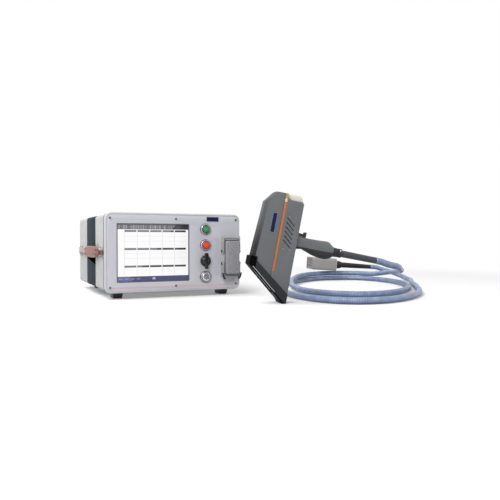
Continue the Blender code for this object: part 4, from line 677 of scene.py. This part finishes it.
def hood_finish():
    """Warm grey lacquer, cream where the hood takes its gland."""
    look = Finish("hood_lacquer", {"Metallic": 0.1})
    end = reach("plug_hood", PLUG)[0].x + HOOD_CREAM
    drift, fine = look.drift_and_grain(20.0, 800.0)
    body = look.blend(along_plug(look).rise(end - 0.0002, end + 0.0002), "dcd8cc",
                      look.blend(drift, "8d8987", "9d9997"))
    return look.dress(look.blend(look.worn(0.35), body, "c9c6c4"),
                      (fine - 0.5) * 0.14 + (drift - 0.5) * 0.1 + 0.5, fine, 0.00008)


def socket_finish():
    """Grey contact block with painted shade inside its holes."""
    look = Finish("socket_block")
    face = reach("plug_insert", PLUG)[1].x
    fine = look.noise(1200.0, 2.0)
    # painted shade: the block turns black deeper than the holes' mouths
    hole_shade = along_plug(look).rise(face - HOLE_SHADE_DEPTH[0], face - HOLE_SHADE_DEPTH[1])
    return look.dress(look.blend(hole_shade, "08080a", look.blend(fine, "6f6e6d", "7c7b7a")),
                      fine * 0.15 + 0.48, fine, 0.00006)


def hose_finish():
    """Blue ringed sleeve on the hose's own map: paler where rubbed, with painted shade in the rings' grooves and
    on its underside.
    """
    look = Finish("hose_sleeve", {GLOSS: 0.65})
    along, around, _ = look.axes(look.node("ShaderNodeUVMap", {"uv_map": "along"}))
    ring = (along * (2 * pi / HOSE_RING) + around * (2 * pi)).sine()
    rub = look.noise(46.0, 4.0, 0.6)
    body = look.blend(rub.rise(0.35, 0.7), "7f94ba", "9bafd0")
    body = look.blend(look.noise(9.0, 3.0).rise(0.55, 0.85) * 0.3, body, "5f7298")
    _, _, facing = look.axes(look.node("ShaderNodeNewGeometry", output="Normal"))
    # painted shade: faces that turn downwards are darkened
    body = look.blend((1 - facing.rise(-0.8, 0.15)) * 0.62, body, "2f4068")
    # painted shade in the rings' grooves
    return look.dress(look.blend(ring.rise(-1.0, 0.2), look.blend(0.6, body, "2c3d60"), body),
                      (rub - 0.5) * 0.15 + 0.33, ring.rise(-1.0, 0.6), 0.00035)


PANEL = panel_finish()
BEZEL = bezel_finish()
FRAME = frame_finish()
SLEEVE = sleeve_finish()
SCREEN = screen_finish()
GASKET = moulded("gasket_grey", "5c5b60", 0.5, 2000.0, 0.00003, 0.1, 0.1)
BLACK = moulded("black_plastic", "141416", 0.36, 2000.0, 0.00003, 0.2, 0.12)
GREEN = lens_finish("green_lens", "green_button", "49a368", "1b6635")
RED = lens_finish("red_lens", "red_button", "ff563a", "cf3024")
CHROME = metal("ring_plate", "c4c4c9", 0.2, grain=400.0)
RING_STEEL = metal("ring_steel", "a2a2a8", 0.28, grain=400.0)
BUTTON = button_finish()
STEEL = metal("brushed_steel", "c3c1ca", 0.3, (1.0, 1.0, 0.05))
LEVER = cast_finish("lever_lacquer", "9b9b9c", "b2b2b1", 1100.0, 0.00005)
DARK_STEEL = metal("screw_black", "4c4b52", 0.36)
COVER = cast_finish("cover_speckle", "747479", "bcbcbf", 820.0, 0.00014)
HOUSING = cast_finish("housing_lacquer", "aeafb1", "cccdcc", 900.0, 0.00008)
LEATHER = leather_finish("strap_leather", "996a5f", "7a544b")
LEATHER_FRONT = leather_finish("strap_end_leather", "83433e", "571f1f")
# the rear end's leather is painted paler: a painted highlight where light falls on it
LEATHER_REAR_LIT = leather_finish("strap_end_lit_pale", "d3b3a6", "a98a7e")
# black of the sheet that stands in for the shade under the strap
SHADE_SHEET_BLACK = leather_finish("strap_shade_sheet", "111112", "080808", {GLOSS: 0.0})
THREAD = moulded("strap_thread", "c9a596", 0.7, 3000.0, 0.00005, 0.1, 0.0)
CONNECTOR_SEAL = seal_finish()
KNOB = moulded("knob_black", "0c0c0e", 0.19, 2000.0, 0.00003, 0.2, 0.3)
VENT = moulded("vent_mesh", "595b5d", 0.6, 1500.0, 0.00006, 0.15, 0.0, {GLOSS: 0.2})
PROBE_SHELL = probe_side_finish()
SKIRT = skirt_finish()
STRIPE_ORANGE = band_finish()
CREAM = moulded("cap_cream", "dbd7cb", 0.5, 1500.0, 0.00005, 0.06, 0.2)
GRIP = moulded("grip_charcoal", "2c2c2f", 0.58, 1400.0, 0.00012, 0.15, 0.2, {GLOSS: 0.3})
HANDLE = moulded("handle_grey", "5f6264", 0.42, 1700.0, 0.00006, 0.07, 0.35)
COLLAR = collar_finish()
BOOT = moulded("boot_charcoal", "424346", 0.5, 1500.0, 0.00006, 0.1, 0.25, {GLOSS: 0.3})
PLUG_BLACK = moulded("plug_black", "0e0e10", 0.4, 1500.0, 0.00004, 0.2, 0.1, {GLOSS: 0.35})
HOOD = hood_finish()
FACE = socket_finish()
NAVY = moulded("badge_navy", "131c42", 0.55, 1500.0, 0.00002, 0.1, 0.0, {GLOSS: 0.15})
PALE = moulded("badge_edge", "7f88a0", 0.5, 1500.0, 0.00002, 0.05, 0.0)
PROBE_SCREW = moulded("probe_screw", "8b8d8f", 0.5, 1500.0, 0.00002, 0.1, 0.3)
FOOT = moulded("foot_rubber", "171718", 0.42, 1500.0, 0.00006, 0.2, 0.1, {GLOSS: 0.45})
HOSE = hose_finish()
GLASS = moulded("probe_glass", "2a2f36", 0.08, 300.0, 0.000005, 0.1, 0.0,
                {"Coat Weight": 0.6, "Coat Roughness": 0.03})
BOARD = moulded("board_green", "1d6b40", 0.5, 1200.0, 0.00005, 0.15, 0.1)
TIN = metal("tinned_sheet", "b9bbbd", 0.4, (1.0, 0.1, 1.0))


# Modelling by hand

def only(piece):
    """Selects one piece and nothing else."""
    bpy.ops.object.select_all(action='DESELECT')
    piece.select_set(True)
    bpy.context.view_layer.objects.active = piece


def edit(piece):
    only(piece)
    bpy.ops.object.mode_set(mode='EDIT')
    bpy.ops.mesh.select_all(action='SELECT')


def leave():
    bpy.ops.object.mode_set(mode='OBJECT')


def pick(piece, kind, wanted):
    """Selects the vertices, edges or faces that pass a test, and stays in edit mode."""
    edit(piece)
    bpy.ops.mesh.select_mode(type=kind)
    bpy.ops.mesh.select_all(action='DESELECT')
    leave()
    mesh = piece.data
    for part in {'VERT': mesh.vertices, 'EDGE': mesh.edges, 'FACE': mesh.polygons}[kind]:
        part.select = bool(wanted(part))
    bpy.ops.object.mode_set(mode='EDIT')


def settle():
    """Puts the newest piece's place into its mesh."""
    piece = bpy.context.object
    only(piece)
    bpy.ops.object.transform_apply(location=True, rotation=True, scale=True)
    return piece


def block(middle, size, turn=0.0):
    """A box to start from."""
    bpy.ops.mesh.primitive_cube_add(size=1.0, location=middle, rotation=(0.0, 0.0, turn), scale=size)
    return settle()


def disc(sides, radius, height):
    """A round blank to start from, on the origin and facing up."""
    middle = (0.0, 0.0, height / 2)
    bpy.ops.mesh.primitive_cylinder_add(vertices=sides, radius=radius, depth=height, location=middle)
    return settle()


def modify(piece, kind, **settings):
    """Adds a modifier and applies it."""
    only(piece)
    step = piece.modifiers.new(kind.title(), kind)
    for name, value in settings.items():
        setattr(step, name, value)
    bpy.ops.object.modifier_apply(modifier=step.name)


def smooth(piece):
    only(piece)
    bpy.ops.object.shade_smooth_by_angle(angle=SMOOTH_ANGLE)


def round_edges(piece, width, segments=3):
    modify(piece, 'BEVEL', width=width, segments=segments, limit_method='ANGLE', angle_limit=BEVEL_ANGLE)
    smooth(piece)


def paint(piece, *finishes):
    piece.data.materials.clear()
    for look in finishes:
        piece.data.materials.append(look.material)
    return piece


def at(place, facing):
    return Matrix.Translation(place) @ facing


def copies(piece, name, look, matrices):
    """Copies of a piece, each with its own mesh, joined into one painted piece."""
    made = []
    for matrix in matrices:
        one = piece.copy()
        one.data = piece.data.copy()
        one.data.transform(matrix)
        bpy.context.scene.collection.objects.link(one)
        made.append(one)
    bpy.data.objects.remove(piece, do_unlink=True)
    bpy.ops.object.select_all(action='DESELECT')
    for one in made:
        one.select_set(True)
    bpy.context.view_layer.objects.active = made[0]
    bpy.ops.object.join()
    made[0].name = name
    return paint(made[0], look)


def finished(node, look, edge):
    """A copy of a solid with its facets merged and its edges rounded, which stands for the solid."""
    source = frame["nodes"][node]
    piece = bpy.data.objects.new(f"finished_{node}", source.data.copy())
    bpy.context.scene.collection.objects.link(piece)
    edit(piece)
    bpy.ops.mesh.remove_doubles(threshold=MERGE)
    bpy.ops.mesh.dissolve_limited(angle_limit=FLAT_ANGLE)
    leave()
    round_edges(piece, edge)
    paint(piece, look)
    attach(piece, source["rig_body"])
    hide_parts(node)
    return piece


# Camera, light and floor

def set_camera():
    bpy.ops.object.camera_add(location=CAMERA_PLACE, rotation=(pi / 2 - CAMERA_DIP, 0.0, -CAMERA_YAW))
    camera = bpy.context.object
    camera.data.lens = CAMERA_LENS
    camera.data.sensor_width = CAMERA_SENSOR
    camera.data.clip_end = CAMERA_REACH
    bpy.context.scene.camera = camera


def add_lamp(name, place, aim, size, power):
    bpy.ops.object.light_add(type='AREA', location=place)
    lamp = bpy.context.object
    lamp.name = name
    lamp.data.shape = 'DISK'
    lamp.data.size = size
    lamp.data.energy = power
    lamp.rotation_euler = (Vector(aim) - Vector(place)).to_track_quat('-Z', 'Y').to_euler()


def set_stage():
    """A pale floor that fades into a white surround, with soft light from above and both sides."""
    scene = bpy.context.scene
    scene.view_settings.view_transform = 'Standard'
    scene.world = bpy.data.worlds.new("soft_room")
    scene.world.use_nodes = True
    room = Nodes(scene.world.node_tree)
    light = room.tree.nodes["Background"]
    room.join(light.inputs["Color"], WHITE)
    room.join(light.inputs["Strength"], ROOM_LIGHT)
    white = room.node("ShaderNodeBackground", None, {"Color": WHITE})
    both = room.mix_shaders(room.white_to_eye(), Wire(room, light.outputs[0]), white)
    room.join(room.tree.nodes["World Output"].inputs["Surface"], both)

    bpy.ops.mesh.primitive_plane_add(size=FLOOR_SIZE, location=FLOOR_MIDDLE)
    floor = bpy.context.object
    floor.name = "floor"
    paper = Finish("floor_paper", {"Roughness": 0.9, GLOSS: 0.1})
    out = paper.node("ShaderNodeVectorMath", {"operation": 'LENGTH'}, {0: paper.place()}, "Value")
    pale = paper.blend(paper.noise(300.0, 2.0), "f6f6f6", "fbfbfb")
    paper.feed("Base Color", paper.blend(paper.white_to_eye(), "b4b4b4", pale))
    glow = paper.node("ShaderNodeEmission", None, {"Color": WHITE})
    both = paper.mix_shaders(out.rise(*FLOOR_FADE) | FLOOR_GLOW, Wire(paper, paper.shader.outputs[0]), glow)
    paper.join(paper.tree.nodes["Material Output"].inputs["Surface"], both)
    paint(floor, paper)
    for lamp in LAMPS:
        add_lamp(*lamp)


# Hose

def coil_point(degrees):
    """A point of the coil: an oval spiral whose far side stays in place as its turns grow."""
    turn = (degrees - 90) / 360
    wide = COIL_HALF_W + COIL_GROW_W * turn
    long = COIL_HALF_L + COIL_GROW_L * turn
    angle = radians(degrees)
    across = wide * cos(angle)
    along = long * sin(angle) - COIL_GROW_L * turn
    down = min(max((degrees - CLIMB[0]) / (CLIMB[1] - CLIMB[0]), 0.0), 1.0)
    layer = LAYER * (1 - down * down * (3 - 2 * down))
    return (COIL_CENTRE[0] + across * cos(COIL_TURN) - along * sin(COIL_TURN),
            COIL_CENTRE[1] + across * sin(COIL_TURN) + along * cos(COIL_TURN),
            HOSE_D / 2 + FLOOR_LIFT + layer)


def smooth_through(points):
    """A natural cubic spline through the points, in steps of about the same length."""
    pts = np.array(points, float)
    chord = np.linalg.norm(np.diff(pts, axis=0), axis=1)
    count = len(pts)
    matrix = np.eye(count)
    right = np.zeros((count, 3))
    for i in range(1, count - 1):
        matrix[i, i - 1:i + 2] = chord[i - 1], 2 * (chord[i - 1] + chord[i]), chord[i]
        right[i] = 6 * ((pts[i + 1] - pts[i]) / chord[i] - (pts[i] - pts[i - 1]) / chord[i - 1])
    bend = np.linalg.solve(matrix, right)
    route = []
    for i, h in enumerate(chord):
        steps = max(2, round(h / HOSE_STEP))
        for step in range(steps):
            t = h * step / steps
            s = h - t
            route.append(bend[i] * s ** 3 / (6 * h) + bend[i + 1] * t ** 3 / (6 * h)
                         + (pts[i] / h - bend[i] * h / 6) * s + (pts[i + 1] / h - bend[i + 1] * h / 6) * t)
    route.append(pts[-1])
    return np.array(route)


def hose_route():
    """From the boot through the coil to the plug, straight where it leaves and arrives."""
    leave_at = PROBE @ Vector((BOOT_END + GAP, 0.0, HANDLE_AXIS))
    away = PROBE.to_3x3() @ Vector((1.0, 0.0, 0.0))
    arrive = PLUG @ Vector((-GAP, 0.0, 0.0))
    into = PLUG.to_3x3() @ Vector((1.0, 0.0, 0.0))
    turns = range(COIL_FROM, COIL_TO + 1, 360 // LOOP_POINTS)
    return smooth_through([leave_at, leave_at + away * STRAIGHT_OUT, *LEAD_IN, *(coil_point(d) for d in turns),
                           *LEAD_OUT, arrive - into * STRAIGHT_IN, arrive])


def make_hose():
    """One tube along the route, with a map of metres along it and turns round it."""
    route = hose_route()
    heading = np.gradient(route, axis=0)
    heading /= np.linalg.norm(heading, axis=1)[:, None]
    side = np.cross(heading[0], (0.0, 0.0, 1.0))
    angles = np.linspace(0.0, 2 * pi, HOSE_SIDES, endpoint=False)[:, None]
    rings = []
    for point, ahead in zip(route, heading):
        side = side - ahead * (side @ ahead)
        side /= np.linalg.norm(side)
        rings.append(point + HOSE_D / 2 * (np.cos(angles) * side + np.sin(angles) * np.cross(ahead, side)))
    run = np.concatenate(([0.0], np.cumsum(np.linalg.norm(np.diff(route, axis=0), axis=1))))
    faces = []
    spots = []
    for i in range(len(route) - 1):
        for j in range(HOSE_SIDES):
            corners = ((i, j), (i, j + 1), (i + 1, j + 1), (i + 1, j))
            faces.append([row * HOSE_SIDES + column % HOSE_SIDES for row, column in corners])
            spots += [(run[row], column / HOSE_SIDES) for row, column in corners]
    last = (len(route) - 1) * HOSE_SIDES
    for cap in (range(HOSE_SIDES)[::-1], range(last, last + HOSE_SIDES)):
        faces.append(cap)
        spots += [(0.0, 0.0)] * HOSE_SIDES
    mesh = bpy.data.meshes.new("blue_hose")
    mesh.from_pydata(np.concatenate(rings).tolist(), [], faces)
    layer = mesh.uv_layers.new(name="along")
    layer.data.foreach_set("uv", np.array(spots, np.float32).ravel())
    mesh.polygons.foreach_set("use_smooth", [True] * len(faces))
    hose = bpy.data.objects.new("blue_hose", mesh)
    bpy.context.scene.collection.objects.link(hose)
    edit(hose)
    bpy.ops.mesh.normals_make_consistent(inside=False)
    leave()
    paint(hose, HOSE)
    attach(hose, SET)
    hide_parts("hose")
    return hose, route, run[-1]


# Fine pieces

def make_screw(radius, height):
    """A pan-head screw with a cross recess, at the origin, facing up."""
    screw = disc(28, radius, height)
    round_edges(screw, height * 0.45)
    for turn in (0.0, pi / 2):
        slot = block((0.0, 0.0, height), (radius * 1.15, radius * 0.26, height * 1.1), turn)
        modify(screw, 'BOOLEAN', object=slot, operation='DIFFERENCE', solver='EXACT')
        bpy.data.objects.remove(slot, do_unlink=True)
    smooth(screw)
    return screw


def make_screws():
    """Screws on the front panel, rear panel, fan guard, strap brackets and probe."""
    face = UNIT_PLACE.y + PANEL_FACE
    spots = [at((UNIT_PLACE.x + x, face - HEAD_LIFT, FOOT_H + z), FACE_FRONT)
             for x in (-UNIT_W / 2 + SCREW_INSET[0], 0.0, UNIT_W / 2 - SCREW_INSET[0])
             for z in (SCREW_INSET[1], UNIT_H - SCREW_INSET[1])]
    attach(copies(make_screw(*PANEL_HEAD), "panel_screws", DARK_STEEL, spots), SET)

    low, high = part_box("rear_panel")
    spots = [at((x, high.y, z), FACE_REAR)
             for x in (low.x + REAR_SCREW_IN, (low.x + high.x) / 2, high.x - REAR_SCREW_IN)
             for z in (low.z + REAR_SCREW_IN, high.z - REAR_SCREW_IN)]
    low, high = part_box("fan_guard")
    middle = (low + high) / 2
    out = (high.x - low.x) / 2 - GUARD_SCREW_IN
    spots += [at((middle.x + out * cos(a), high.y, middle.z + out * sin(a)), FACE_REAR)
              for a in (radians(45 + 90 * i) for i in range(4))]
    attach(copies(make_screw(*REAR_HEAD), "rear_screws", DARK_STEEL, spots), SET)

    spots = []
    for node in ("strap_bracket_front", "strap_bracket_rear"):
        low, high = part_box(node)
        for z in (low.z + BRACKET_SCREW_IN, high.z - BRACKET_SCREW_IN):
            spots.append(at((high.x - BRACKET_FLANGE, (low.y + high.y) / 2 + BRACKET_FLANGE, z), FACE_LEFT))
    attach(copies(make_screw(*STRAP_HEAD), "strap_screws", DARK_STEEL, spots), SET)

    spots = [PROBE @ at((x, side * (PROBE_HALF - PROBE_SCREW_SINK), z), out)
             for side, out in ((-1, FACE_FRONT), (1, FACE_REAR)) for x, z in PROBE_SCREWS]
    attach(copies(make_screw(*PROBE_HEAD), "probe_screws", PROBE_SCREW, spots), SET)


def make_stud(radius, height):
    """A domed stud with a stepped foot, at the origin, facing up."""
    stud = disc(24, radius, height / 2)
    pick(stud, 'FACE', lambda face: face.normal.z > 0.9)
    bpy.ops.mesh.inset(thickness=radius * 0.14, depth=0.0)
    bpy.ops.mesh.extrude_region_move(TRANSFORM_OT_translate={"value": (0.0, 0.0, height / 3)})
    bpy.ops.transform.resize(value=(0.9, 0.9, 1.0))
    bpy.ops.mesh.inset(thickness=radius * 0.3, depth=height / 6)
    leave()
    round_edges(stud, height * 0.07, 2)
    return stud


def on_grip(y, z):
    """Where a ray from the left meets the strap's grip, and the normal there."""
    start = Vector((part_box("strap_grip")[0].x - FAR_OUT, y, z))
    hit, place, normal, _ = bpy.data.objects["finished_strap_grip"].ray_cast(start, Vector((1.0, 0.0, 0.0)))
    return hit, place, normal


def make_studs():
    """Rivets at the strap grip's ends, bolts on the lever pegs, and a set screw in the gland's nut."""
    low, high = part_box("strap_grip")
    middle = (low.z + high.z) / 2
    spots = []
    for y in (low.y + RIVET_IN, high.y - RIVET_IN):
        for z in (middle - RIVET_HALF, middle + RIVET_HALF):
            _, place, normal = on_grip(y, z)
            spots.append(at(place, normal.to_track_quat('Z', 'Y').to_matrix().to_4x4()))
    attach(copies(make_stud(*RIVET_HEAD), "strap_rivets", BLACK, spots), SET)

    low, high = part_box("connector_housing")
    spots = []
    for node in ("upper_lever", "lower_lever"):
        pivot = [joint for joint in frame["record"]["behaviour"]["joints"] if joint["child"] == node][0]["pos_m"]
        for x, out in ((low.x - HEAD_LIFT, FACE_LEFT), (high.x + HEAD_LIFT, FACE_RIGHT)):
            spots.append(at((x, pivot[1], pivot[2]), out))
    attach(copies(make_stud(*BOLT_HEAD), "lever_bolts", BLACK, spots), SET)

    screw = make_screw(*NUT_HEAD)
    screw.name = "nut_screw"
    screw.data.transform(PROBE @ at(NUT_SCREW, FACE_FRONT))
    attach(paint(screw, CHROME), SET)


def make_tail():
    """The strap's front tail: over the bracket's loop, down its front and flat on the case to the bezel."""
    low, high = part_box("strap_bracket_front")
    end, thick, height = STRAP_TAIL
    start = UNIT_PLACE.y + end
    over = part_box("strap_end_front")[0].y + TAIL_UNDER
    bend = (low.y + high.y) / 2 - TAIL_BEND
    tail = block((high.x - TAIL_SINK[0] - thick / 2, (start + over) / 2, (low.z + high.z) / 2),
                 (thick, over - start, height))
    for cut in (bend - TAIL_BEND_L, bend):
        edit(tail)
        bpy.ops.mesh.bisect(plane_co=(0.0, cut, 0.0), plane_no=(0.0, 1.0, 0.0))
        leave()
    pick(tail, 'VERT', lambda vertex: vertex.co.y > bend - TAIL_BEND_L / 4)
    bpy.ops.transform.translate(value=(low.x - high.x + TAIL_SINK[1], 0.0, 0.0))
    leave()
    round_edges(tail, 0.0007)
    tail.name = "strap_tail"
    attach(paint(tail, LEATHER_FRONT), SET)


def make_shade_pads():
    """Black sleeves bent round the corners of the lower lever, standing in for the shade under its ends."""
    wide, tall = SHADE_PAD_ARC
    bpy.ops.mesh.primitive_circle_add(vertices=14, radius=SHADE_PAD_R, fill_type='NGON', location=(-wide, 0.0, 0.0))
    shade_pad = settle()
    edit(shade_pad)
    bpy.ops.mesh.spin(steps=10, angle=SHADE_PAD_SWEEP, center=(0.0, 0.0, 0.0), axis=(0.0, 1.0, 0.0))
    bpy.ops.mesh.select_all(action='SELECT')
    bpy.ops.mesh.remove_doubles(threshold=MERGE)
    bpy.ops.mesh.fill_holes(sides=0)
    bpy.ops.mesh.normals_make_consistent(inside=False)
    leave()
    shade_pad.data.transform(Matrix.Diagonal((1.0, 1.0, tall / wide, 1.0)))
    round_edges(shade_pad, 0.0006, 2)
    low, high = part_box("lower_lever")
    face = low.y - SHADE_PAD_R * 0.3
    spots = [Matrix.Translation((low.x + SHADE_PAD_CENTRE[0], face, low.z + SHADE_PAD_CENTRE[1])),
             at((high.x - SHADE_PAD_CENTRE[0], face, low.z + SHADE_PAD_CENTRE[1]), TURNED)]
    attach(copies(shade_pad, "lever_shade_pads", PLUG_BLACK, spots), "lower_lever")


def make_shade_seals():
    """Dark rubber rings between the buttons' bezels and the panel, which also stand in for the shade round each
    button.
    """
    nodes = ("green_button_bezel", "red_button_bezel", "selector_bezel", "steel_button_ring")
    boxes = [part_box(node) for node in nodes]
    radius = (boxes[0][1].x - boxes[0][0].x) / 2
    # the rings' dark grey also stands in for the shade round the buttons
    seal = disc(48, radius + SHADE_SEAL_OUT, SHADE_SEAL_H)
    pick(seal, 'FACE', lambda face: face.normal.z > 0.9)
    bpy.ops.mesh.inset(thickness=SHADE_SEAL_OUT * 2, depth=0.0)
    bpy.ops.mesh.inset(thickness=SHADE_SEAL_H * 0.3, depth=-SHADE_SEAL_H * 0.5)
    leave()
    round_edges(seal, SHADE_SEAL_H * 0.3, 2)
    spots = []
    for low, high in boxes:
        middle = (low + high) / 2
        size = (high.x - low.x) / 2 / radius
        spots.append(at((middle.x, UNIT_PLACE.y + PANEL_FACE, middle.z), FACE_FRONT) @ Matrix.Scale(size, 4))
    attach(copies(seal, "button_shade_seals", GASKET, spots), SET)


def make_shade_sheet():
    """A black sheet on the sleeve under the strap that stands in for the strap's shade there; its lower edge
    drops towards the front.
    """
    front, rear, low_front, low_rear, top = SHADE_SHEET
    y, z = (front + rear) / 2, (low_front + top) / 2
    shade_sheet = block((CASE_SIDE - SHADE_SHEET_OUT, y, z), (SHADE_SHEET_T, rear - front, top - low_front))
    pick(shade_sheet, 'VERT', lambda vertex: vertex.co.y > y and vertex.co.z < z)
    bpy.ops.transform.translate(value=(0.0, 0.0, low_rear - low_front))
    leave()
    pick(shade_sheet, 'FACE', lambda face: face.normal.x < -0.9)
    bpy.ops.mesh.inset(thickness=SHADE_SHEET_HEM, depth=0.0)
    bpy.ops.mesh.inset(thickness=SHADE_SHEET_GROOVE[0], depth=-SHADE_SHEET_GROOVE[1])
    leave()
    round_edges(shade_sheet, 0.0003, 2)
    shade_sheet.name = "strap_shade_sheet"
    shade_sheet.data.transform(UNIT)
    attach(paint(shade_sheet, SHADE_SHEET_BLACK), SET)


def make_filters():
    """A dark filter behind the probe's vents on each side, with a frame round it."""
    x0, x1, z0, z1 = VENT_AREA
    mat = block(((x0 + x1) / 2, 0.0, (z0 + z1) / 2), (x1 - x0, FILTER_T, z1 - z0))
    pick(mat, 'FACE', lambda face: face.normal.y < -0.9)
    bpy.ops.mesh.inset(thickness=FILTER_FRAME[0], depth=-FILTER_FRAME[1])
    bpy.ops.mesh.subdivide(number_cuts=9)
    leave()
    round_edges(mat, 0.0001, 1)
    out = PROBE_HALF - VENT_DEPTH
    spots = [PROBE @ Matrix.Translation((0.0, -out, 0.0)), PROBE @ at((x0 + x1, out, 0.0), TURNED)]
    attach(copies(mat, "vent_filters", VENT, spots), SET)


def make_badge(name, size, matrix):
    """A bare enamelled plate with a pale edge, facing up until it is placed."""
    badge = block((0.0, 0.0, BADGE_T / 2), (*size, BADGE_T))
    tops = [vertex.co.z > BADGE_T / 2 for vertex in badge.data.vertices]
    pick(badge, 'EDGE', lambda edge: tops[edge.vertices[0]] != tops[edge.vertices[1]])
    bpy.ops.mesh.bevel(offset=min(size) * 0.16, segments=5, affect='EDGES')
    leave()
    paint(badge, PALE, NAVY)
    pick(badge, 'FACE', lambda face: face.normal.z > 0.9)
    bpy.ops.mesh.inset(thickness=min(size) * 0.07, depth=0.0)
    bpy.ops.mesh.inset(thickness=BADGE_T * 0.2, depth=-BADGE_T * 0.3)
    badge.active_material_index = 1
    bpy.ops.object.material_slot_assign()
    leave()
    smooth(badge)
    badge.name = name
    badge.data.transform(matrix)
    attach(badge, SET)


def make_stitching():
    """Two rows of thread along the strap's grip."""
    low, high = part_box("strap_grip")
    bpy.ops.mesh.primitive_cylinder_add(vertices=8, radius=STITCH[0], depth=STITCH[1])
    stitch = settle()
    round_edges(stitch, 0.0003, 2)
    spots = []
    middle = (low.z + high.z) / 2
    for side in (-1, 1):
        for i in range(STITCH_COUNT):
            y = low.y + STITCH_IN[0] + (high.y - low.y - 2 * STITCH_IN[0]) * i / (STITCH_COUNT - 1)
            taper = min((y - low.y) / GRIP_TAPER_L, (high.y - y) / GRIP_TAPER_L, 1.0)
            z = middle + side * ((GRIP_END_H + (GRIP_H - GRIP_END_H) * taper) / 2 - STITCH_IN[1])
            hit, place, _ = on_grip(y, z)
            if hit:
                spots.append(at(place, Matrix.Rotation(STITCH_TILT, 4, 'X')))
    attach(copies(stitch, "strap_stitches", THREAD, spots), SET)


def dress_solids():
    """Each solid, with its finish and its edge rounding."""
    table = (
        (BEZEL, 0.0012, "front_bezel"),
        (PANEL, 0.0004, "front_panel"),
        (FRAME, 0.0008, "front_frame rear_frame rear_panel strap_bracket_front strap_bracket_rear"),
        (SLEEVE, 0.0007, "sleeve"),
        (FOOT, 0.0022, "foot_front_left foot_front_right foot_rear_left foot_rear_right"),
        (GASKET, 0.0003, "screen_gasket"),
        (SCREEN, 0.0002, "screen_glass"),
        (CHROME, 0.0005, "green_button_bezel red_button_bezel"),
        (RING_STEEL, 0.0005, "steel_button_ring"),
        (GREEN, 0.0006, "green_button"),
        (RED, 0.0006, "red_button"),
        (KNOB, 0.0008, "selector_bezel selector_knob"),
        (BLACK, 0.0008, "contact_blocks connector_insert"),
        (BUTTON, 0.0004, "steel_button"),
        (STEEL, 0.0005, "fan_guard"),
        (HOUSING, 0.0008, "connector_housing"),
        (COVER, 0.0008, "connector_cover"),
        (CONNECTOR_SEAL, 0.0005, "connector_seal"),
        (LEVER, 0.0007, "upper_lever lower_lever"),
        (LEATHER, 0.0012, "strap_grip"),
        (LEATHER_FRONT, 0.0008, "strap_end_front"),
        (LEATHER_REAR_LIT, 0.0008, "strap_end_rear"),
        (BLACK, 0.0006, "fan_frame fan_rotor power_inlet power_rocker"),
        (PROBE_SHELL, 0.0011, "probe_front_shell probe_rear_shell"),
        (STRIPE_ORANGE, 0.0003, "probe_band"),
        (SKIRT, 0.0012, "probe_skirt"),
        (GLASS, 0.0003, "probe_window"),
        (CREAM, 0.0010, "probe_cap"),
        (HANDLE, 0.0010, "handle_shell"),
        (GRIP, 0.0010, "handle_grip"),
        (COLLAR, 0.0007, "handle_collar"),
        (BLACK, 0.0007, "trigger gland_nut"),
        (BOOT, 0.0008, "hose_boot"),
        (PLUG_BLACK, 0.0007, "plug_boot plug_gland"),
        (HOOD, 0.0010, "plug_hood"),
        (FACE, 0.0004, "plug_insert"),
        (TIN, 0.0006, "display_module chassis_tray power_supply signal_module"),
        (BOARD, 0.0002, "main_board"),
        (DARK_STEEL, 0.0006, "optical_module"),
    )
    for look, edge, nodes in table:
        for node in nodes.split():
            finished(node, look, edge)


set_camera()
set_stage()
hose, route, length = make_hose()
dress_solids()
make_screws()
make_badge("unit_badge", BADGE_SIZE,
           at((UNIT_PLACE.x + BADGE_CENTRE[0], UNIT_PLACE.y + PANEL_FACE, BADGE_CENTRE[1]), FACE_FRONT))
make_badge("probe_badge", PROBE_BADGE_SIZE, PROBE @ at((PROBE_BADGE[0], -PROBE_HALF, PROBE_BADGE[1]), FACE_FRONT))
make_studs()
make_stitching()
make_tail()
make_shade_pads()
make_shade_seals()
make_shade_sheet()
make_filters()
